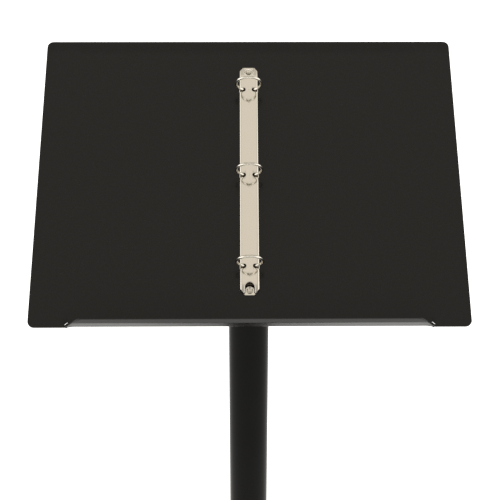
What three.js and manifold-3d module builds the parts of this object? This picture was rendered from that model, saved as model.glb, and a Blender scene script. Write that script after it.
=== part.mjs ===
// Floor-standing display desk for ring-bound pages: a sheet-steel desk with a folded lip and a
// three-ring mechanism, on a telescoping round column with a weighted disc base.
// Millimetres, +Z up, origin on the floor under the column's axis, the desk faces -Y.
import * as THREE from 'three';
import { mergeVertices } from 'three/addons/utils/BufferGeometryUtils.js';
import Module from 'manifold-3d';

const wasm = await Module();
wasm.setup();

const DEG = Math.PI / 180;
const GAP = 0.3; // clearance between neighbouring pieces

// ---------------------------------------------------------------- driving dimensions
const DESK_WIDTH = 466;
const DESK_HEIGHT = 350; // along the slope
const SHEET = 1.5; // desk sheet thickness
const DESK_CORNER = 7; // corner radius
const DESK_SLOPE = 40; // degrees from horizontal, as it stands
const PIVOT_DEPTH = 50; // tilt axis behind the desk's front surface
const PIVOT_HEIGHT = 1054; // tilt axis above the floor

const LIP_WIDTH = 387;
const LIP_INSIDE_RADIUS = 1.5;
const LIP_SHELF = 10.9; // flat stretch square to the desk
const LIP_RETURN_BEND = 14; // degrees the front edge of the lip is turned back up
const LIP_RETURN = 7.1; // flat stretch of that front edge
const LIP_CORNER = 19; // rounding of the free corners of the lip
const LIP_TANGENT = 3.2; // where the first bend leaves the flat desk, above its bottom edge
const LIP_SLIT = 0.6; // relief slit beside each end of the lip
const LIP_SLIT_CORNER = 2; // rounding of the desk corner beside the slit

const UPPER_TUBE_RADIUS = 24.15;
const LOWER_TUBE_RADIUS = 27;
const TUBE_WALL = 1.5;
const UPPER_TUBE_TOP = PIVOT_HEIGHT - 45;
const UPPER_TUBE_LENGTH = 709;
const LOWER_TUBE_TOP = 600;

const BASE_RADIUS = 200;
const BASE_THICKNESS = 8;
const FOOT_RADIUS = 16;
const FOOT_HEIGHT = 5;
const FOOT_CIRCLE = 165;

const RING_SPACING = 107.95;
const RING_RADIUS = 14.1; // centreline of the wire
const RING_WIRE = 1.4; // wire radius
const RING_CENTRE = 18.7; // ring centre above the mechanism's underside
const COVER_LENGTH = 279;
const COVER_HALF_WIDTH = 10.5;
const COVER_HEIGHT = 6.3;
const COVER_SHEET = 0.8;
const COVER_POWER = 3.2; // exponent of the super-elliptic arch
const RIVET_INSET = 5.3; // rivet centre from the cover's end
const MECHANISM_CENTRE = 174.5; // above the desk's bottom edge

const BRACKET_SHEET = 3;
const BRACKET_EAR_INSIDE = 19;
const BRACKET_HALF_WIDTH = 46;
const BRACKET_HALF_HEIGHT = 60;
const STUD_X = 36;
const STUD_V = 45;
const STUD_RADIUS = 2.5;

const TILT_BOLT_RADIUS = 4;
const CLAMP_HEIGHT = LOWER_TUBE_TOP - 22;
const CLAMP_STEM_RADIUS = 4;

// ---------------------------------------------------------------- materials
const finishes = {
  powderCoat: { color: 0x2a2927, roughness: 0.42, metalness: 0.0 },
  columnCoat: { color: 0x1f1f1e, roughness: 0.32, metalness: 0.0 },
  nickel: { color: 0xd9d0bd, roughness: 0.24, metalness: 1.0 },
  zinc: { color: 0xb4b6b8, roughness: 0.36, metalness: 1.0 },
  castAlloy: { color: 0x242424, roughness: 0.5, metalness: 0.0 },
  nylon: { color: 0xd6d2c6, roughness: 0.55, metalness: 0.0 },
  blackPlastic: { color: 0x161616, roughness: 0.5, metalness: 0.0 },
  rubber: { color: 0x141414, roughness: 0.85, metalness: 0.0 },
};

// ---------------------------------------------------------------- solid helpers
function toSolid(geometry) {
  const bare = geometry.clone();
  bare.deleteAttribute('normal');
  bare.deleteAttribute('uv');
  const welded = mergeVertices(bare, 1e-4);
  const vertProperties = new Float32Array(welded.attributes.position.array);
  const triVerts = new Uint32Array(welded.index.array);
  return new wasm.Manifold(new wasm.Mesh({ numProp: 3, vertProperties, triVerts }));
}

function toGeometry(solid) {
  const mesh = solid.getMesh();
  const geometry = new THREE.BufferGeometry();
  geometry.setAttribute('position', new THREE.BufferAttribute(mesh.vertProperties, 3));
  geometry.setIndex(new THREE.BufferAttribute(mesh.triVerts, 1));
  geometry.computeVertexNormals();
  return geometry;
}

function join(...geometries) {
  return toGeometry(geometries.map(toSolid).reduce((whole, piece) => whole.add(piece)));
}

function cut(geometry, ...tools) {
  return toGeometry(tools.map(toSolid).reduce((whole, tool) => whole.subtract(tool), toSolid(geometry)));
}

function common(first, second) {
  return toGeometry(toSolid(first).intersect(toSolid(second)));
}

// Turned solid about +Z from [radius, z] points, given anticlockwise in the radius-z plane.
function turned(points, segments = 32) {
  const profile = points.map(([radius, z]) => new THREE.Vector2(radius, z));
  return new THREE.LatheGeometry(profile, segments).rotateX(Math.PI / 2);
}

function rod(radius, bottom, top, segments = 24) {
  return turned([[0, bottom], [radius, bottom], [radius, top], [0, top]], segments);
}

function pipe(inner, outer, bottom, top, segments = 48) {
  const loop = [[inner, bottom], [outer, bottom], [outer, top], [inner, top], [inner, bottom]];
  return turned(loop, segments);
}

function box(width, depth, height) {
  return new THREE.BoxGeometry(width, depth, height);
}

function plate(shape, thickness, curveSegments = 12) {
  return new THREE.ExtrudeGeometry(shape, { depth: thickness, bevelEnabled: false, curveSegments });
}

function roundedRectangle(width, height, radius) {
  const x = width / 2;
  const y = height / 2;
  const shape = new THREE.Shape();
  shape.moveTo(-x + radius, -y);
  shape.lineTo(x - radius, -y);
  shape.absarc(x - radius, -y + radius, radius, -Math.PI / 2, 0);
  shape.lineTo(x, y - radius);
  shape.absarc(x - radius, y - radius, radius, 0, Math.PI / 2);
  shape.lineTo(-x + radius, y);
  shape.absarc(-x + radius, y - radius, radius, Math.PI / 2, Math.PI);
  shape.lineTo(-x, -y + radius);
  shape.absarc(-x + radius, -y + radius, radius, Math.PI, 1.5 * Math.PI);
  return shape;
}

function hexagonPrism(acrossFlats, bottom, top) {
  return rod(acrossFlats / 2 / Math.cos(30 * DEG), bottom, top, 6);
}

// Skin through equal rings of points, one ring per station, closed by flat ends.
function loft(rings) {
  const count = rings[0].length;
  const positions = rings.flat().flatMap((point) => point.toArray());
  const faces = [];
  for (let ring = 0; ring + 1 < rings.length; ring += 1) {
    for (let step = 0; step < count; step += 1) {
      const a = ring * count + step;
      const b = ring * count + ((step + 1) % count);
      faces.push(a, b + count, b, a, a + count, b + count);
    }
  }
  const outline = rings[0].map((point) => new THREE.Vector2(point.x, point.z));
  const last = (rings.length - 1) * count;
  for (const [a, b, c] of THREE.ShapeUtils.triangulateShape(outline, [])) {
    faces.push(a, b, c, last + a, last + c, last + b);
  }
  const geometry = new THREE.BufferGeometry();
  geometry.setAttribute('position', new THREE.Float32BufferAttribute(positions, 3));
  geometry.setIndex(faces);
  return geometry;
}

function pieceMesh(name, geometry, finish) {
  const material = new THREE.MeshStandardMaterial(finishes[finish]);
  const mesh = new THREE.Mesh(geometry, material);
  mesh.name = name;
  return mesh;
}

// ---------------------------------------------------------------- base
function basePlate() {
  const bottom = FOOT_HEIGHT + GAP;
  const top = bottom + BASE_THICKNESS;
  const disc = turned([
    [0, bottom],
    [BASE_RADIUS - 1, bottom],
    [BASE_RADIUS, bottom + 1],
    [BASE_RADIUS, top - 3],
    [BASE_RADIUS - 1, top - 1],
    [BASE_RADIUS - 3, top],
    [0, top],
  ], 80);
  const boltHole = rod(6.5, bottom - 1, top + 1);
  const headRecess = rod(16, bottom - 1, bottom + 4);
  return cut(disc, boltHole, headRecess);
}

function footPad() {
  return turned([
    [0, 0],
    [FOOT_RADIUS, 0],
    [FOOT_RADIUS, 1],
    [FOOT_RADIUS - 2, FOOT_HEIGHT],
    [0, FOOT_HEIGHT],
  ]);
}

const SOCKET_BOTTOM = FOOT_HEIGHT + GAP + BASE_THICKNESS + GAP;
const SOCKET_FLANGE_TOP = SOCKET_BOTTOM + 6;

function tubeSocket() {
  const spigot = LOWER_TUBE_RADIUS - TUBE_WALL - GAP;
  const spigotTop = SOCKET_FLANGE_TOP + 42;
  const body = turned([
    [0, SOCKET_BOTTOM],
    [50, SOCKET_BOTTOM],
    [50, SOCKET_FLANGE_TOP - 2],
    [47, SOCKET_FLANGE_TOP],
    [spigot, SOCKET_FLANGE_TOP],
    [spigot, spigotTop - 2],
    [spigot - 2, spigotTop],
    [0, spigotTop],
  ], 48);
  return cut(body, rod(6.3, SOCKET_BOTTOM - 1, SOCKET_FLANGE_TOP + 34));
}

function baseBolt() {
  return join(hexagonPrism(18, 1.6, 7.6), rod(6, 7.4, SOCKET_FLANGE_TOP + 30));
}

function lowerTube() {
  const tube = pipe(
    LOWER_TUBE_RADIUS - TUBE_WALL,
    LOWER_TUBE_RADIUS,
    SOCKET_FLANGE_TOP + GAP,
    LOWER_TUBE_TOP,
  );
  const stemHole = rod(CLAMP_STEM_RADIUS + GAP, 10, 60).rotateX(-Math.PI / 2);
  return cut(tube, stemHole.translate(0, 0, CLAMP_HEIGHT));
}

function tubeBush() {
  const inner = UPPER_TUBE_RADIUS + GAP;
  const sleeve = LOWER_TUBE_RADIUS - TUBE_WALL - GAP;
  const flangeBottom = LOWER_TUBE_TOP + GAP;
  const flangeTop = flangeBottom + 3;
  const body = turned([
    [inner, LOWER_TUBE_TOP - 60],
    [sleeve, LOWER_TUBE_TOP - 60],
    [sleeve, flangeBottom],
    [LOWER_TUBE_RADIUS, flangeBottom],
    [LOWER_TUBE_RADIUS, flangeTop - 1],
    [LOWER_TUBE_RADIUS - 1, flangeTop],
    [inner, flangeTop],
    [inner, LOWER_TUBE_TOP - 60],
  ], 48);
  const stemHole = rod(CLAMP_STEM_RADIUS + GAP, 10, 60).rotateX(-Math.PI / 2);
  return cut(body, stemHole.translate(0, 0, CLAMP_HEIGHT));
}

// Ring clamped round the lower tube, with the boss that the clamp knob screws into at the back.
function heightCollar() {
  const inner = LOWER_TUBE_RADIUS + GAP;
  const outer = inner + 5;
  const ring = turned([
    [inner, CLAMP_HEIGHT - 18],
    [outer - 1.5, CLAMP_HEIGHT - 18],
    [outer, CLAMP_HEIGHT - 16.5],
    [outer, CLAMP_HEIGHT + 16.5],
    [outer - 1.5, CLAMP_HEIGHT + 18],
    [inner, CLAMP_HEIGHT + 18],
    [inner, CLAMP_HEIGHT - 18],
  ], 48);
  const boss = rod(11, inner + 2, outer + 11).rotateX(-Math.PI / 2).translate(0, 0, CLAMP_HEIGHT);
  const stemHole = rod(CLAMP_STEM_RADIUS + GAP, 10, 60).rotateX(-Math.PI / 2);
  return cut(join(ring, boss), stemHole.translate(0, 0, CLAMP_HEIGHT));
}

// ---------------------------------------------------------------- clamp knobs
// Five-lobed hand grip about +Z, its seat at z = 0, with a blind hole for its screw.
function lobedGrip(holeRadius, holeDepth) {
  const LOBES = 5;
  const STEPS = 45;
  const MEAN_RADIUS = 19;
  const LOBE_DEPTH = 2.6;
  const HEIGHT = 17;
  const outline = [];
  for (let step = 0; step < STEPS; step += 1) {
    const angle = (step / STEPS) * 2 * Math.PI;
    const radius = MEAN_RADIUS + LOBE_DEPTH * Math.cos(LOBES * angle);
    outline.push(new THREE.Vector2(radius * Math.cos(angle), radius * Math.sin(angle)));
  }
  const bevel = { bevelEnabled: true, bevelThickness: 2, bevelSize: 2, bevelSegments: 1 };
  const settings = { depth: HEIGHT - 4, ...bevel, bevelOffset: -2, curveSegments: 1 };
  const grip = new THREE.ExtrudeGeometry(new THREE.Shape(outline), settings).translate(0, 0, 8);
  return cut(join(grip, rod(9, 0, 8)), rod(holeRadius, -1, holeDepth));
}

// ---------------------------------------------------------------- upper column
function upperTube() {
  return pipe(
    UPPER_TUBE_RADIUS - TUBE_WALL,
    UPPER_TUBE_RADIUS,
    UPPER_TUBE_TOP - UPPER_TUBE_LENGTH,
    UPPER_TUBE_TOP,
  );
}

// Plastic guide on the foot of the upper tube, running inside the lower tube.
function glideRing() {
  const bottom = UPPER_TUBE_TOP - UPPER_TUBE_LENGTH;
  const skirt = LOWER_TUBE_RADIUS - TUBE_WALL - GAP;
  const plug = UPPER_TUBE_RADIUS - TUBE_WALL - GAP;
  return turned([
    [plug - 3, bottom - 12],
    [skirt - 1, bottom - 12],
    [skirt, bottom - 11],
    [skirt, bottom - GAP],
    [plug, bottom - GAP],
    [plug, bottom + 25],
    [plug - 3, bottom + 25],
    [plug - 3, bottom - 12],
  ], 48);
}

// Plug in the upper tube that carries the knuckle between the bracket's ears.
function columnHead() {
  const plugRadius = UPPER_TUBE_RADIUS - TUBE_WALL - GAP;
  const capBottom = UPPER_TUBE_TOP + GAP;
  const capTop = capBottom + 6;
  const plug = turned([
    [0, UPPER_TUBE_TOP - 45],
    [plugRadius - 1.5, UPPER_TUBE_TOP - 45],
    [plugRadius, UPPER_TUBE_TOP - 43],
    [plugRadius, capBottom],
    [UPPER_TUBE_RADIUS, capBottom],
    [UPPER_TUBE_RADIUS, capTop - 2],
    [UPPER_TUBE_RADIUS - 2, capTop],
    [0, capTop],
  ], 48);
  const half = 16;
  const outline = new THREE.Shape();
  outline.moveTo(-half, capTop - PIVOT_HEIGHT - 1);
  outline.lineTo(half, capTop - PIVOT_HEIGHT - 1);
  outline.lineTo(half, 0);
  outline.absarc(0, 0, half, 0, Math.PI);
  const knuckleHalf = BRACKET_EAR_INSIDE - 1.6 - 2 * GAP;
  const knuckle = plate(outline, 2 * knuckleHalf).translate(0, 0, -knuckleHalf);
  knuckle.rotateX(Math.PI / 2).rotateZ(Math.PI / 2).translate(0, 0, PIVOT_HEIGHT);
  const bore = rod(TILT_BOLT_RADIUS + GAP, -40, 40).rotateY(Math.PI / 2);
  const screwHole = rod(2.8, 10, 40).rotateX(-Math.PI / 2).translate(0, 0, UPPER_TUBE_TOP - 20);
  return cut(join(plug, knuckle), bore.translate(0, 0, PIVOT_HEIGHT), screwHole);
}

// ---------------------------------------------------------------- desk (x across, y up the slope, z off its front)
// Cross-section of the lip in the y-z plane: a square bend, a shelf, a smaller bend and the front edge.
function lipProfile() {
  const STEPS = 6;
  const outside = [[LIP_TANGENT + 2, -SHEET]];
  const inside = [[LIP_TANGENT + 2, 0]];
  const centre = [LIP_TANGENT, LIP_INSIDE_RADIUS];
  let angle = 0;
  const mark = (list, radius) => {
    list.push([centre[0] - radius * Math.sin(angle), centre[1] - radius * Math.cos(angle)]);
  };
  for (const [bend, flat] of [[90, LIP_SHELF], [LIP_RETURN_BEND, LIP_RETURN]]) {
    const start = angle;
    for (let step = 0; step <= STEPS; step += 1) {
      angle = start + (bend * DEG * step) / STEPS;
      mark(outside, LIP_INSIDE_RADIUS + SHEET);
      mark(inside, LIP_INSIDE_RADIUS);
    }
    centre[0] -= flat * Math.cos(angle);
    centre[1] += flat * Math.sin(angle);
  }
  mark(outside, LIP_INSIDE_RADIUS + SHEET);
  mark(inside, LIP_INSIDE_RADIUS);
  return [...outside, ...inside.reverse()];
}

// The lip with its two free corners rounded off, seen along the slope.
function foldedLip() {
  const profile = lipProfile();
  const outline = new THREE.Shape(profile.map(([y, z]) => new THREE.Vector2(-z, y)));
  const strip = plate(outline, LIP_WIDTH).translate(0, 0, -LIP_WIDTH / 2).rotateY(Math.PI / 2);
  const top = Math.max(...profile.map(([, z]) => z));
  const rise = top - 1;
  const x = LIP_WIDTH / 2;
  const keep = new THREE.Shape();
  keep.moveTo(-x, -SHEET - 1);
  keep.lineTo(x, -SHEET - 1);
  keep.lineTo(x, top - rise);
  keep.absellipse(x - LIP_CORNER, top - rise, LIP_CORNER, rise, 0, Math.PI / 2);
  keep.lineTo(-x + LIP_CORNER, top);
  keep.absellipse(-x + LIP_CORNER, top - rise, LIP_CORNER, rise, Math.PI / 2, Math.PI);
  const block = plate(keep, 60, 14).translate(0, 0, -30).rotateX(Math.PI / 2);
  return common(strip, block);
}

// Flat sheet with rounded corners, its bottom edge stepped back for the lip behind two slits.
function flatDesk() {
  const x = DESK_WIDTH / 2;
  const inner = LIP_WIDTH / 2 + LIP_SLIT;
  const corner = DESK_CORNER;
  const outline = new THREE.Shape();
  outline.moveTo(-x + corner, 0);
  outline.lineTo(-inner - LIP_SLIT_CORNER, 0);
  outline.absarc(-inner - LIP_SLIT_CORNER, LIP_SLIT_CORNER, LIP_SLIT_CORNER, -Math.PI / 2, 0);
  outline.lineTo(-inner, LIP_TANGENT + 2);
  outline.lineTo(-inner + LIP_SLIT, LIP_TANGENT + 2);
  outline.lineTo(-inner + LIP_SLIT, LIP_TANGENT);
  outline.lineTo(inner - LIP_SLIT, LIP_TANGENT);
  outline.lineTo(inner - LIP_SLIT, LIP_TANGENT + 2);
  outline.lineTo(inner, LIP_TANGENT + 2);
  outline.lineTo(inner, LIP_SLIT_CORNER);
  outline.absarc(inner + LIP_SLIT_CORNER, LIP_SLIT_CORNER, LIP_SLIT_CORNER, Math.PI, 1.5 * Math.PI);
  outline.lineTo(x - corner, 0);
  outline.absarc(x - corner, corner, corner, -Math.PI / 2, 0);
  outline.lineTo(x, DESK_HEIGHT - corner);
  outline.absarc(x - corner, DESK_HEIGHT - corner, corner, 0, Math.PI / 2);
  outline.lineTo(-x + corner, DESK_HEIGHT);
  outline.absarc(-x + corner, DESK_HEIGHT - corner, corner, Math.PI / 2, Math.PI);
  outline.lineTo(-x, corner);
  outline.absarc(-x + corner, corner, corner, Math.PI, 1.5 * Math.PI);
  return plate(outline, SHEET, 8).translate(0, 0, -SHEET);
}

function deskPanel() {
  const studs = [];
  for (const x of [-STUD_X, STUD_X]) {
    for (const y of [-STUD_V, STUD_V]) {
      const stud = rod(STUD_RADIUS, -SHEET - 12, -SHEET + 0.5, 16);
      studs.push(stud.translate(x, DESK_HEIGHT / 2 + y, 0));
    }
  }
  const rivetHoles = [-1, 1].map((end) => {
    const y = MECHANISM_CENTRE + end * (COVER_LENGTH / 2 - RIVET_INSET);
    return rod(1.6 + GAP, -10, 10, 24).translate(0, y, 0);
  });
  return cut(join(flatDesk(), foldedLip(), ...studs), ...rivetHoles);
}

// Folded bracket: a back plate on the desk's four studs and two ears that hold the tilt axis.
function deskBracket() {
  const face = -SHEET - GAP;
  const y = DESK_HEIGHT / 2;
  const backShape = roundedRectangle(2 * BRACKET_HALF_WIDTH, 2 * BRACKET_HALF_HEIGHT, 8);
  const back = plate(backShape, BRACKET_SHEET, 4).translate(0, y, face - BRACKET_SHEET);
  const earHalf = 24;
  const ear = new THREE.Shape();
  ear.moveTo(-40, face - 1);
  ear.lineTo(-earHalf + 5, -PIVOT_DEPTH - 8);
  ear.absarc(0, -PIVOT_DEPTH, 17, Math.PI + 25 * DEG, 2 * Math.PI - 25 * DEG);
  ear.lineTo(earHalf - 5, -PIVOT_DEPTH - 8);
  ear.lineTo(40, face - 1);
  const ears = [-1, 1].map((side) => {
    const offset = side > 0 ? BRACKET_EAR_INSIDE : -BRACKET_EAR_INSIDE - BRACKET_SHEET;
    const blank = plate(ear, BRACKET_SHEET, 9);
    const upright = new THREE.Matrix4().makeBasis(
      new THREE.Vector3(0, 1, 0),
      new THREE.Vector3(0, 0, 1),
      new THREE.Vector3(1, 0, 0),
    );
    return blank.applyMatrix4(upright).translate(offset, y, 0);
  });
  const bore = rod(TILT_BOLT_RADIUS + GAP, -60, 60).rotateY(Math.PI / 2).translate(0, y, -PIVOT_DEPTH);
  const studHoles = [-STUD_X, STUD_X].flatMap((x) => (
    [-STUD_V, STUD_V].map((v) => rod(STUD_RADIUS + GAP, -20, 5, 16).translate(x, y + v, 0))
  ));
  return cut(join(back, ...ears), bore, ...studHoles);
}

function bracketNut() {
  return cut(hexagonPrism(8, -4, 0), rod(STUD_RADIUS + 0.15, -5, 1, 16));
}

// Screw through both ears, its hexagon head on the left and its thread in the knob on the right.
function tiltBolt() {
  const earOutside = BRACKET_EAR_INSIDE + BRACKET_SHEET;
  const shank = rod(TILT_BOLT_RADIUS, -earOutside - GAP - 1, earOutside + 17);
  const head = hexagonPrism(13, -earOutside - GAP - 5.3, -earOutside - GAP);
  return join(shank, head);
}

// ---------------------------------------------------------------- ring mechanism (on the desk, z = 0 at its underside)
function archPoint(angle, halfWidth, height) {
  const power = 2 / COVER_POWER;
  const side = Math.cos(angle);
  const across = halfWidth * Math.sign(side) * Math.abs(side) ** power;
  return [across, height * Math.sin(angle) ** power];
}

// Pressed cover: a super-elliptic arch that lowers and narrows a little towards both ends.
function coverArch() {
  const STATIONS = [0, 3, 6, 10, 15, COVER_LENGTH / 2];
  const POINTS = 14;
  const stations = [...STATIONS, ...STATIONS.slice(0, -1).reverse().map((d) => COVER_LENGTH - d)];
  const rings = stations.map((distance) => {
    const fromEnd = Math.min(distance, COVER_LENGTH - distance);
    const ease = Math.sin((Math.min(fromEnd / 15, 1) * Math.PI) / 2);
    const height = COVER_HEIGHT * (0.62 + 0.38 * ease);
    const points = [];
    for (let step = 0; step <= POINTS; step += 1) {
      const [x, z] = archPoint((Math.PI * step) / POINTS, COVER_HALF_WIDTH, height);
      points.push(new THREE.Vector3(x, distance - COVER_LENGTH / 2, z));
    }
    for (let step = POINTS; step >= 0; step -= 1) {
      const inner = COVER_HALF_WIDTH - COVER_SHEET;
      const [x, z] = archPoint((Math.PI * step) / POINTS, inner, height - COVER_SHEET);
      points.push(new THREE.Vector3(x, distance - COVER_LENGTH / 2, z));
    }
    return points;
  });
  return loft(rings);
}

function coverEndOutline(inset) {
  const x = COVER_HALF_WIDTH - inset;
  const outline = new THREE.Shape();
  outline.moveTo(-x, -30);
  outline.lineTo(x, -30);
  outline.lineTo(x, -6.5);
  outline.lineTo(x - 4.6, 0);
  outline.lineTo(-x + 4.6, 0);
  outline.lineTo(-x, -6.5);
  return outline;
}

// Plan outline of one end's pressed tongue: a rim along the chamfers, and a round tab past the rivet.
function tongueOutline() {
  const half = 4.9;
  const rim = 1.8;
  const shoulder = COVER_HALF_WIDTH - 0.2;
  const outline = new THREE.Shape();
  outline.moveTo(COVER_HALF_WIDTH - 4.6, 0);
  outline.lineTo(-COVER_HALF_WIDTH + 4.6, 0);
  outline.lineTo(-shoulder, -6.3);
  outline.lineTo(-shoulder + rim / 2, -6.3 - rim);
  outline.lineTo(-half - 1.4, -2.4);
  outline.lineTo(-half, -2.4);
  outline.lineTo(-half, -RIVET_INSET);
  outline.absarc(0, -RIVET_INSET, half, Math.PI, 2 * Math.PI);
  outline.lineTo(half, -2.4);
  outline.lineTo(half + 1.4, -2.4);
  outline.lineTo(shoulder - rim / 2, -6.3 - rim);
  outline.lineTo(shoulder, -6.3);
  return outline;
}

// Arched mouth above the tongue.
function mouthOutline() {
  const outline = new THREE.Shape();
  outline.moveTo(-5.6, 1);
  outline.lineTo(-5.6, -8);
  outline.bezierCurveTo(-5.3, -11.5, -2.2, -13.4, 0, -13.4);
  outline.bezierCurveTo(2.2, -13.4, 5.3, -11.5, 5.6, -8);
  outline.lineTo(5.6, 1);
  return outline;
}

function ringSlot(side) {
  const outline = new THREE.Shape();
  outline.moveTo(12, -2.5);
  outline.lineTo(12, 2.5);
  outline.lineTo(6.3, 2.5);
  outline.absarc(6.3, 0, 2.5, Math.PI / 2, 1.5 * Math.PI);
  const slot = plate(outline, 8).translate(0, 0, 2.2);
  return side > 0 ? slot : slot.rotateZ(Math.PI);
}

const RING_PLACES = [1, 0, -1].map((step) => step * RING_SPACING);

function ringCover() {
  const arch = coverArch();
  const ends = [0, 1].map((turn) => {
    const place = (geometry) => geometry.translate(0, COVER_LENGTH / 2, 0).rotateZ(turn * Math.PI);
    const outside = place(plate(coverEndOutline(-5), 20).translate(0, 0, -5));
    const inside = place(plate(coverEndOutline(0), 30).translate(0, 0, -10));
    const chamfers = toGeometry(toSolid(outside).subtract(toSolid(inside)));
    const mouth = place(plate(mouthOutline(), 20, 8).translate(0, 0, -5));
    const tongue = place(plate(tongueOutline(), COVER_SHEET, 10));
    const rivetHole = place(rod(1.6 + GAP, -5, 5, 24).translate(0, -RIVET_INSET, 0));
    return { chamfers, mouth, tongue, rivetHole };
  });
  const slots = RING_PLACES.flatMap((y) => [-1, 1].map((side) => ringSlot(side).translate(0, y, 0)));
  const shell = cut(arch, ...ends.flatMap((end) => [end.chamfers, end.mouth]), ...slots);
  return cut(join(shell, ...ends.map((end) => end.tongue)), ...ends.map((end) => end.rivetHole));
}

const BLADE_INSIDE = 0.2;
const BLADE_OUTSIDE = 8.9;
const BLADE_BOTTOM = 0.9;
const BLADE_SHEET = 0.8;
const WIRE_FOOT = 6.3; // where a ring's wire goes through its blade, from the middle

// Hinged carrier strip under the cover, one for the left halves of the rings and one for the right.
function ringBlade(side) {
  const width = BLADE_OUTSIDE - BLADE_INSIDE;
  const strip = box(width, COVER_LENGTH - 38, BLADE_SHEET);
  strip.translate((BLADE_INSIDE + BLADE_OUTSIDE) / 2, 0, BLADE_BOTTOM + BLADE_SHEET / 2);
  const holes = RING_PLACES.map((y) => rod(RING_WIRE + GAP, 0, 3, 20).translate(WIRE_FOOT, y, 0));
  const blade = cut(strip, ...holes);
  return side > 0 ? blade : blade.rotateZ(Math.PI);
}

// Half a ring: round wire from the tip at the top, round the side and down through the blade.
function ringHalf(side) {
  const path = new THREE.CurvePath();
  const entry = Math.asin((RING_CENTRE - 7) / RING_RADIUS);
  const arc = new THREE.EllipseCurve(0, RING_CENTRE, RING_RADIUS, RING_RADIUS, Math.PI / 2, -entry, true);
  const points = arc.getPoints(22).map((point) => new THREE.Vector3(point.x, 0, point.y));
  points[0].x = GAP / 2;
  const last = points[points.length - 1];
  points.push(new THREE.Vector3(last.x - 0.75, 0, last.z - 0.75));
  points.push(new THREE.Vector3(WIRE_FOOT + 0.15, 0, last.z - 1.9));
  points.push(new THREE.Vector3(WIRE_FOOT, 0, last.z - 3.2));
  points.push(new THREE.Vector3(WIRE_FOOT, 0, BLADE_BOTTOM - 0.3));
  path.add(new THREE.CatmullRomCurve3(points, false, 'centripetal'));
  const section = new THREE.Shape();
  section.absarc(0, 0, RING_WIRE, 0, 2 * Math.PI);
  const settings = { steps: 24, extrudePath: path.curves[0], curveSegments: 5 };
  const wire = new THREE.ExtrudeGeometry(section, settings);
  return side > 0 ? wire : wire.rotateZ(Math.PI);
}

// Hollow rivet through the cover's tongue and the desk, from its front head to its rolled back.
function coverRivet() {
  const back = -GAP - SHEET - GAP;
  return turned([
    [0, back - 1.4],
    [2.8, back - 1.2],
    [2.8, back],
    [1.6, back],
    [1.6, COVER_SHEET + GAP],
    [3.1, COVER_SHEET + GAP],
    [2.9, COVER_SHEET + GAP + 0.8],
    [2.0, COVER_SHEET + GAP + 1.2],
    [1.5, COVER_SHEET + GAP + 1.1],
    [1.2, COVER_SHEET + GAP + 0.5],
    [0, COVER_SHEET + GAP + 0.4],
  ], 20);
}

// ---------------------------------------------------------------- assembly
function addBase(stand) {
  stand.add(pieceMesh('base_plate', basePlate(), 'powderCoat'));
  const corners = [['front_right', -45], ['back_right', 45], ['back_left', 135], ['front_left', -135]];
  for (const [name, angle] of corners) {
    const foot = pieceMesh(`foot_${name}`, footPad(), 'rubber');
    foot.position.set(FOOT_CIRCLE * Math.cos(angle * DEG), FOOT_CIRCLE * Math.sin(angle * DEG), 0);
    stand.add(foot);
  }
  stand.add(pieceMesh('tube_socket', tubeSocket(), 'powderCoat'));
  stand.add(pieceMesh('base_bolt', baseBolt(), 'zinc'));
  stand.add(pieceMesh('base_washer', pipe(6.4, 12, 7.9, 9.0, 24), 'zinc'));
  stand.add(pieceMesh('lower_tube', lowerTube(), 'columnCoat'));
  stand.add(pieceMesh('tube_bush', tubeBush(), 'blackPlastic'));
  stand.add(pieceMesh('height_collar', heightCollar(), 'castAlloy'));
}

function addHeightClamp(stand) {
  const clamp = new THREE.Group();
  clamp.position.set(0, 0, CLAMP_HEIGHT);
  clamp.rotation.x = -Math.PI / 2;
  const bossEnd = LOWER_TUBE_RADIUS + GAP + 5 + 11;
  const grip = pieceMesh('height_knob', lobedGrip(CLAMP_STEM_RADIUS + GAP, 14), 'blackPlastic');
  grip.position.z = bossEnd + 2;
  clamp.add(grip);
  const stem = rod(CLAMP_STEM_RADIUS, UPPER_TUBE_RADIUS + GAP, bossEnd + 2 + 13);
  clamp.add(pieceMesh('height_knob_stem', stem, 'zinc'));
  stand.add(clamp);
}

function addUpperColumn(stand) {
  stand.add(pieceMesh('upper_tube', upperTube(), 'columnCoat'));
  stand.add(pieceMesh('glide_ring', glideRing(), 'blackPlastic'));
  stand.add(pieceMesh('column_head', columnHead(), 'castAlloy'));
}

function addTiltJoint(desk) {
  const axis = new THREE.Group();
  axis.position.set(0, DESK_HEIGHT / 2, -PIVOT_DEPTH);
  axis.rotation.y = Math.PI / 2;
  const hole = TILT_BOLT_RADIUS + GAP;
  const outside = BRACKET_EAR_INSIDE + BRACKET_SHEET + GAP;
  const washer = pipe(hole, 14, 0, 1.6, 28);
  axis.add(pieceMesh('tilt_bolt', tiltBolt(), 'zinc'));
  for (const [name, start] of [['left', -BRACKET_EAR_INSIDE + GAP], ['right', BRACKET_EAR_INSIDE - GAP - 1.6]]) {
    const ring = pieceMesh(`friction_washer_${name}`, washer.clone(), 'nylon');
    ring.position.z = start;
    axis.add(ring);
  }
  const steelWasher = pieceMesh('knob_washer', pipe(hole, 10, 0, 1.6, 28), 'zinc');
  steelWasher.position.z = outside;
  axis.add(steelWasher);
  const grip = pieceMesh('tilt_knob', lobedGrip(hole, 15), 'blackPlastic');
  grip.position.z = outside + 1.6 + GAP;
  axis.add(grip);
  desk.add(axis);
}

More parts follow.
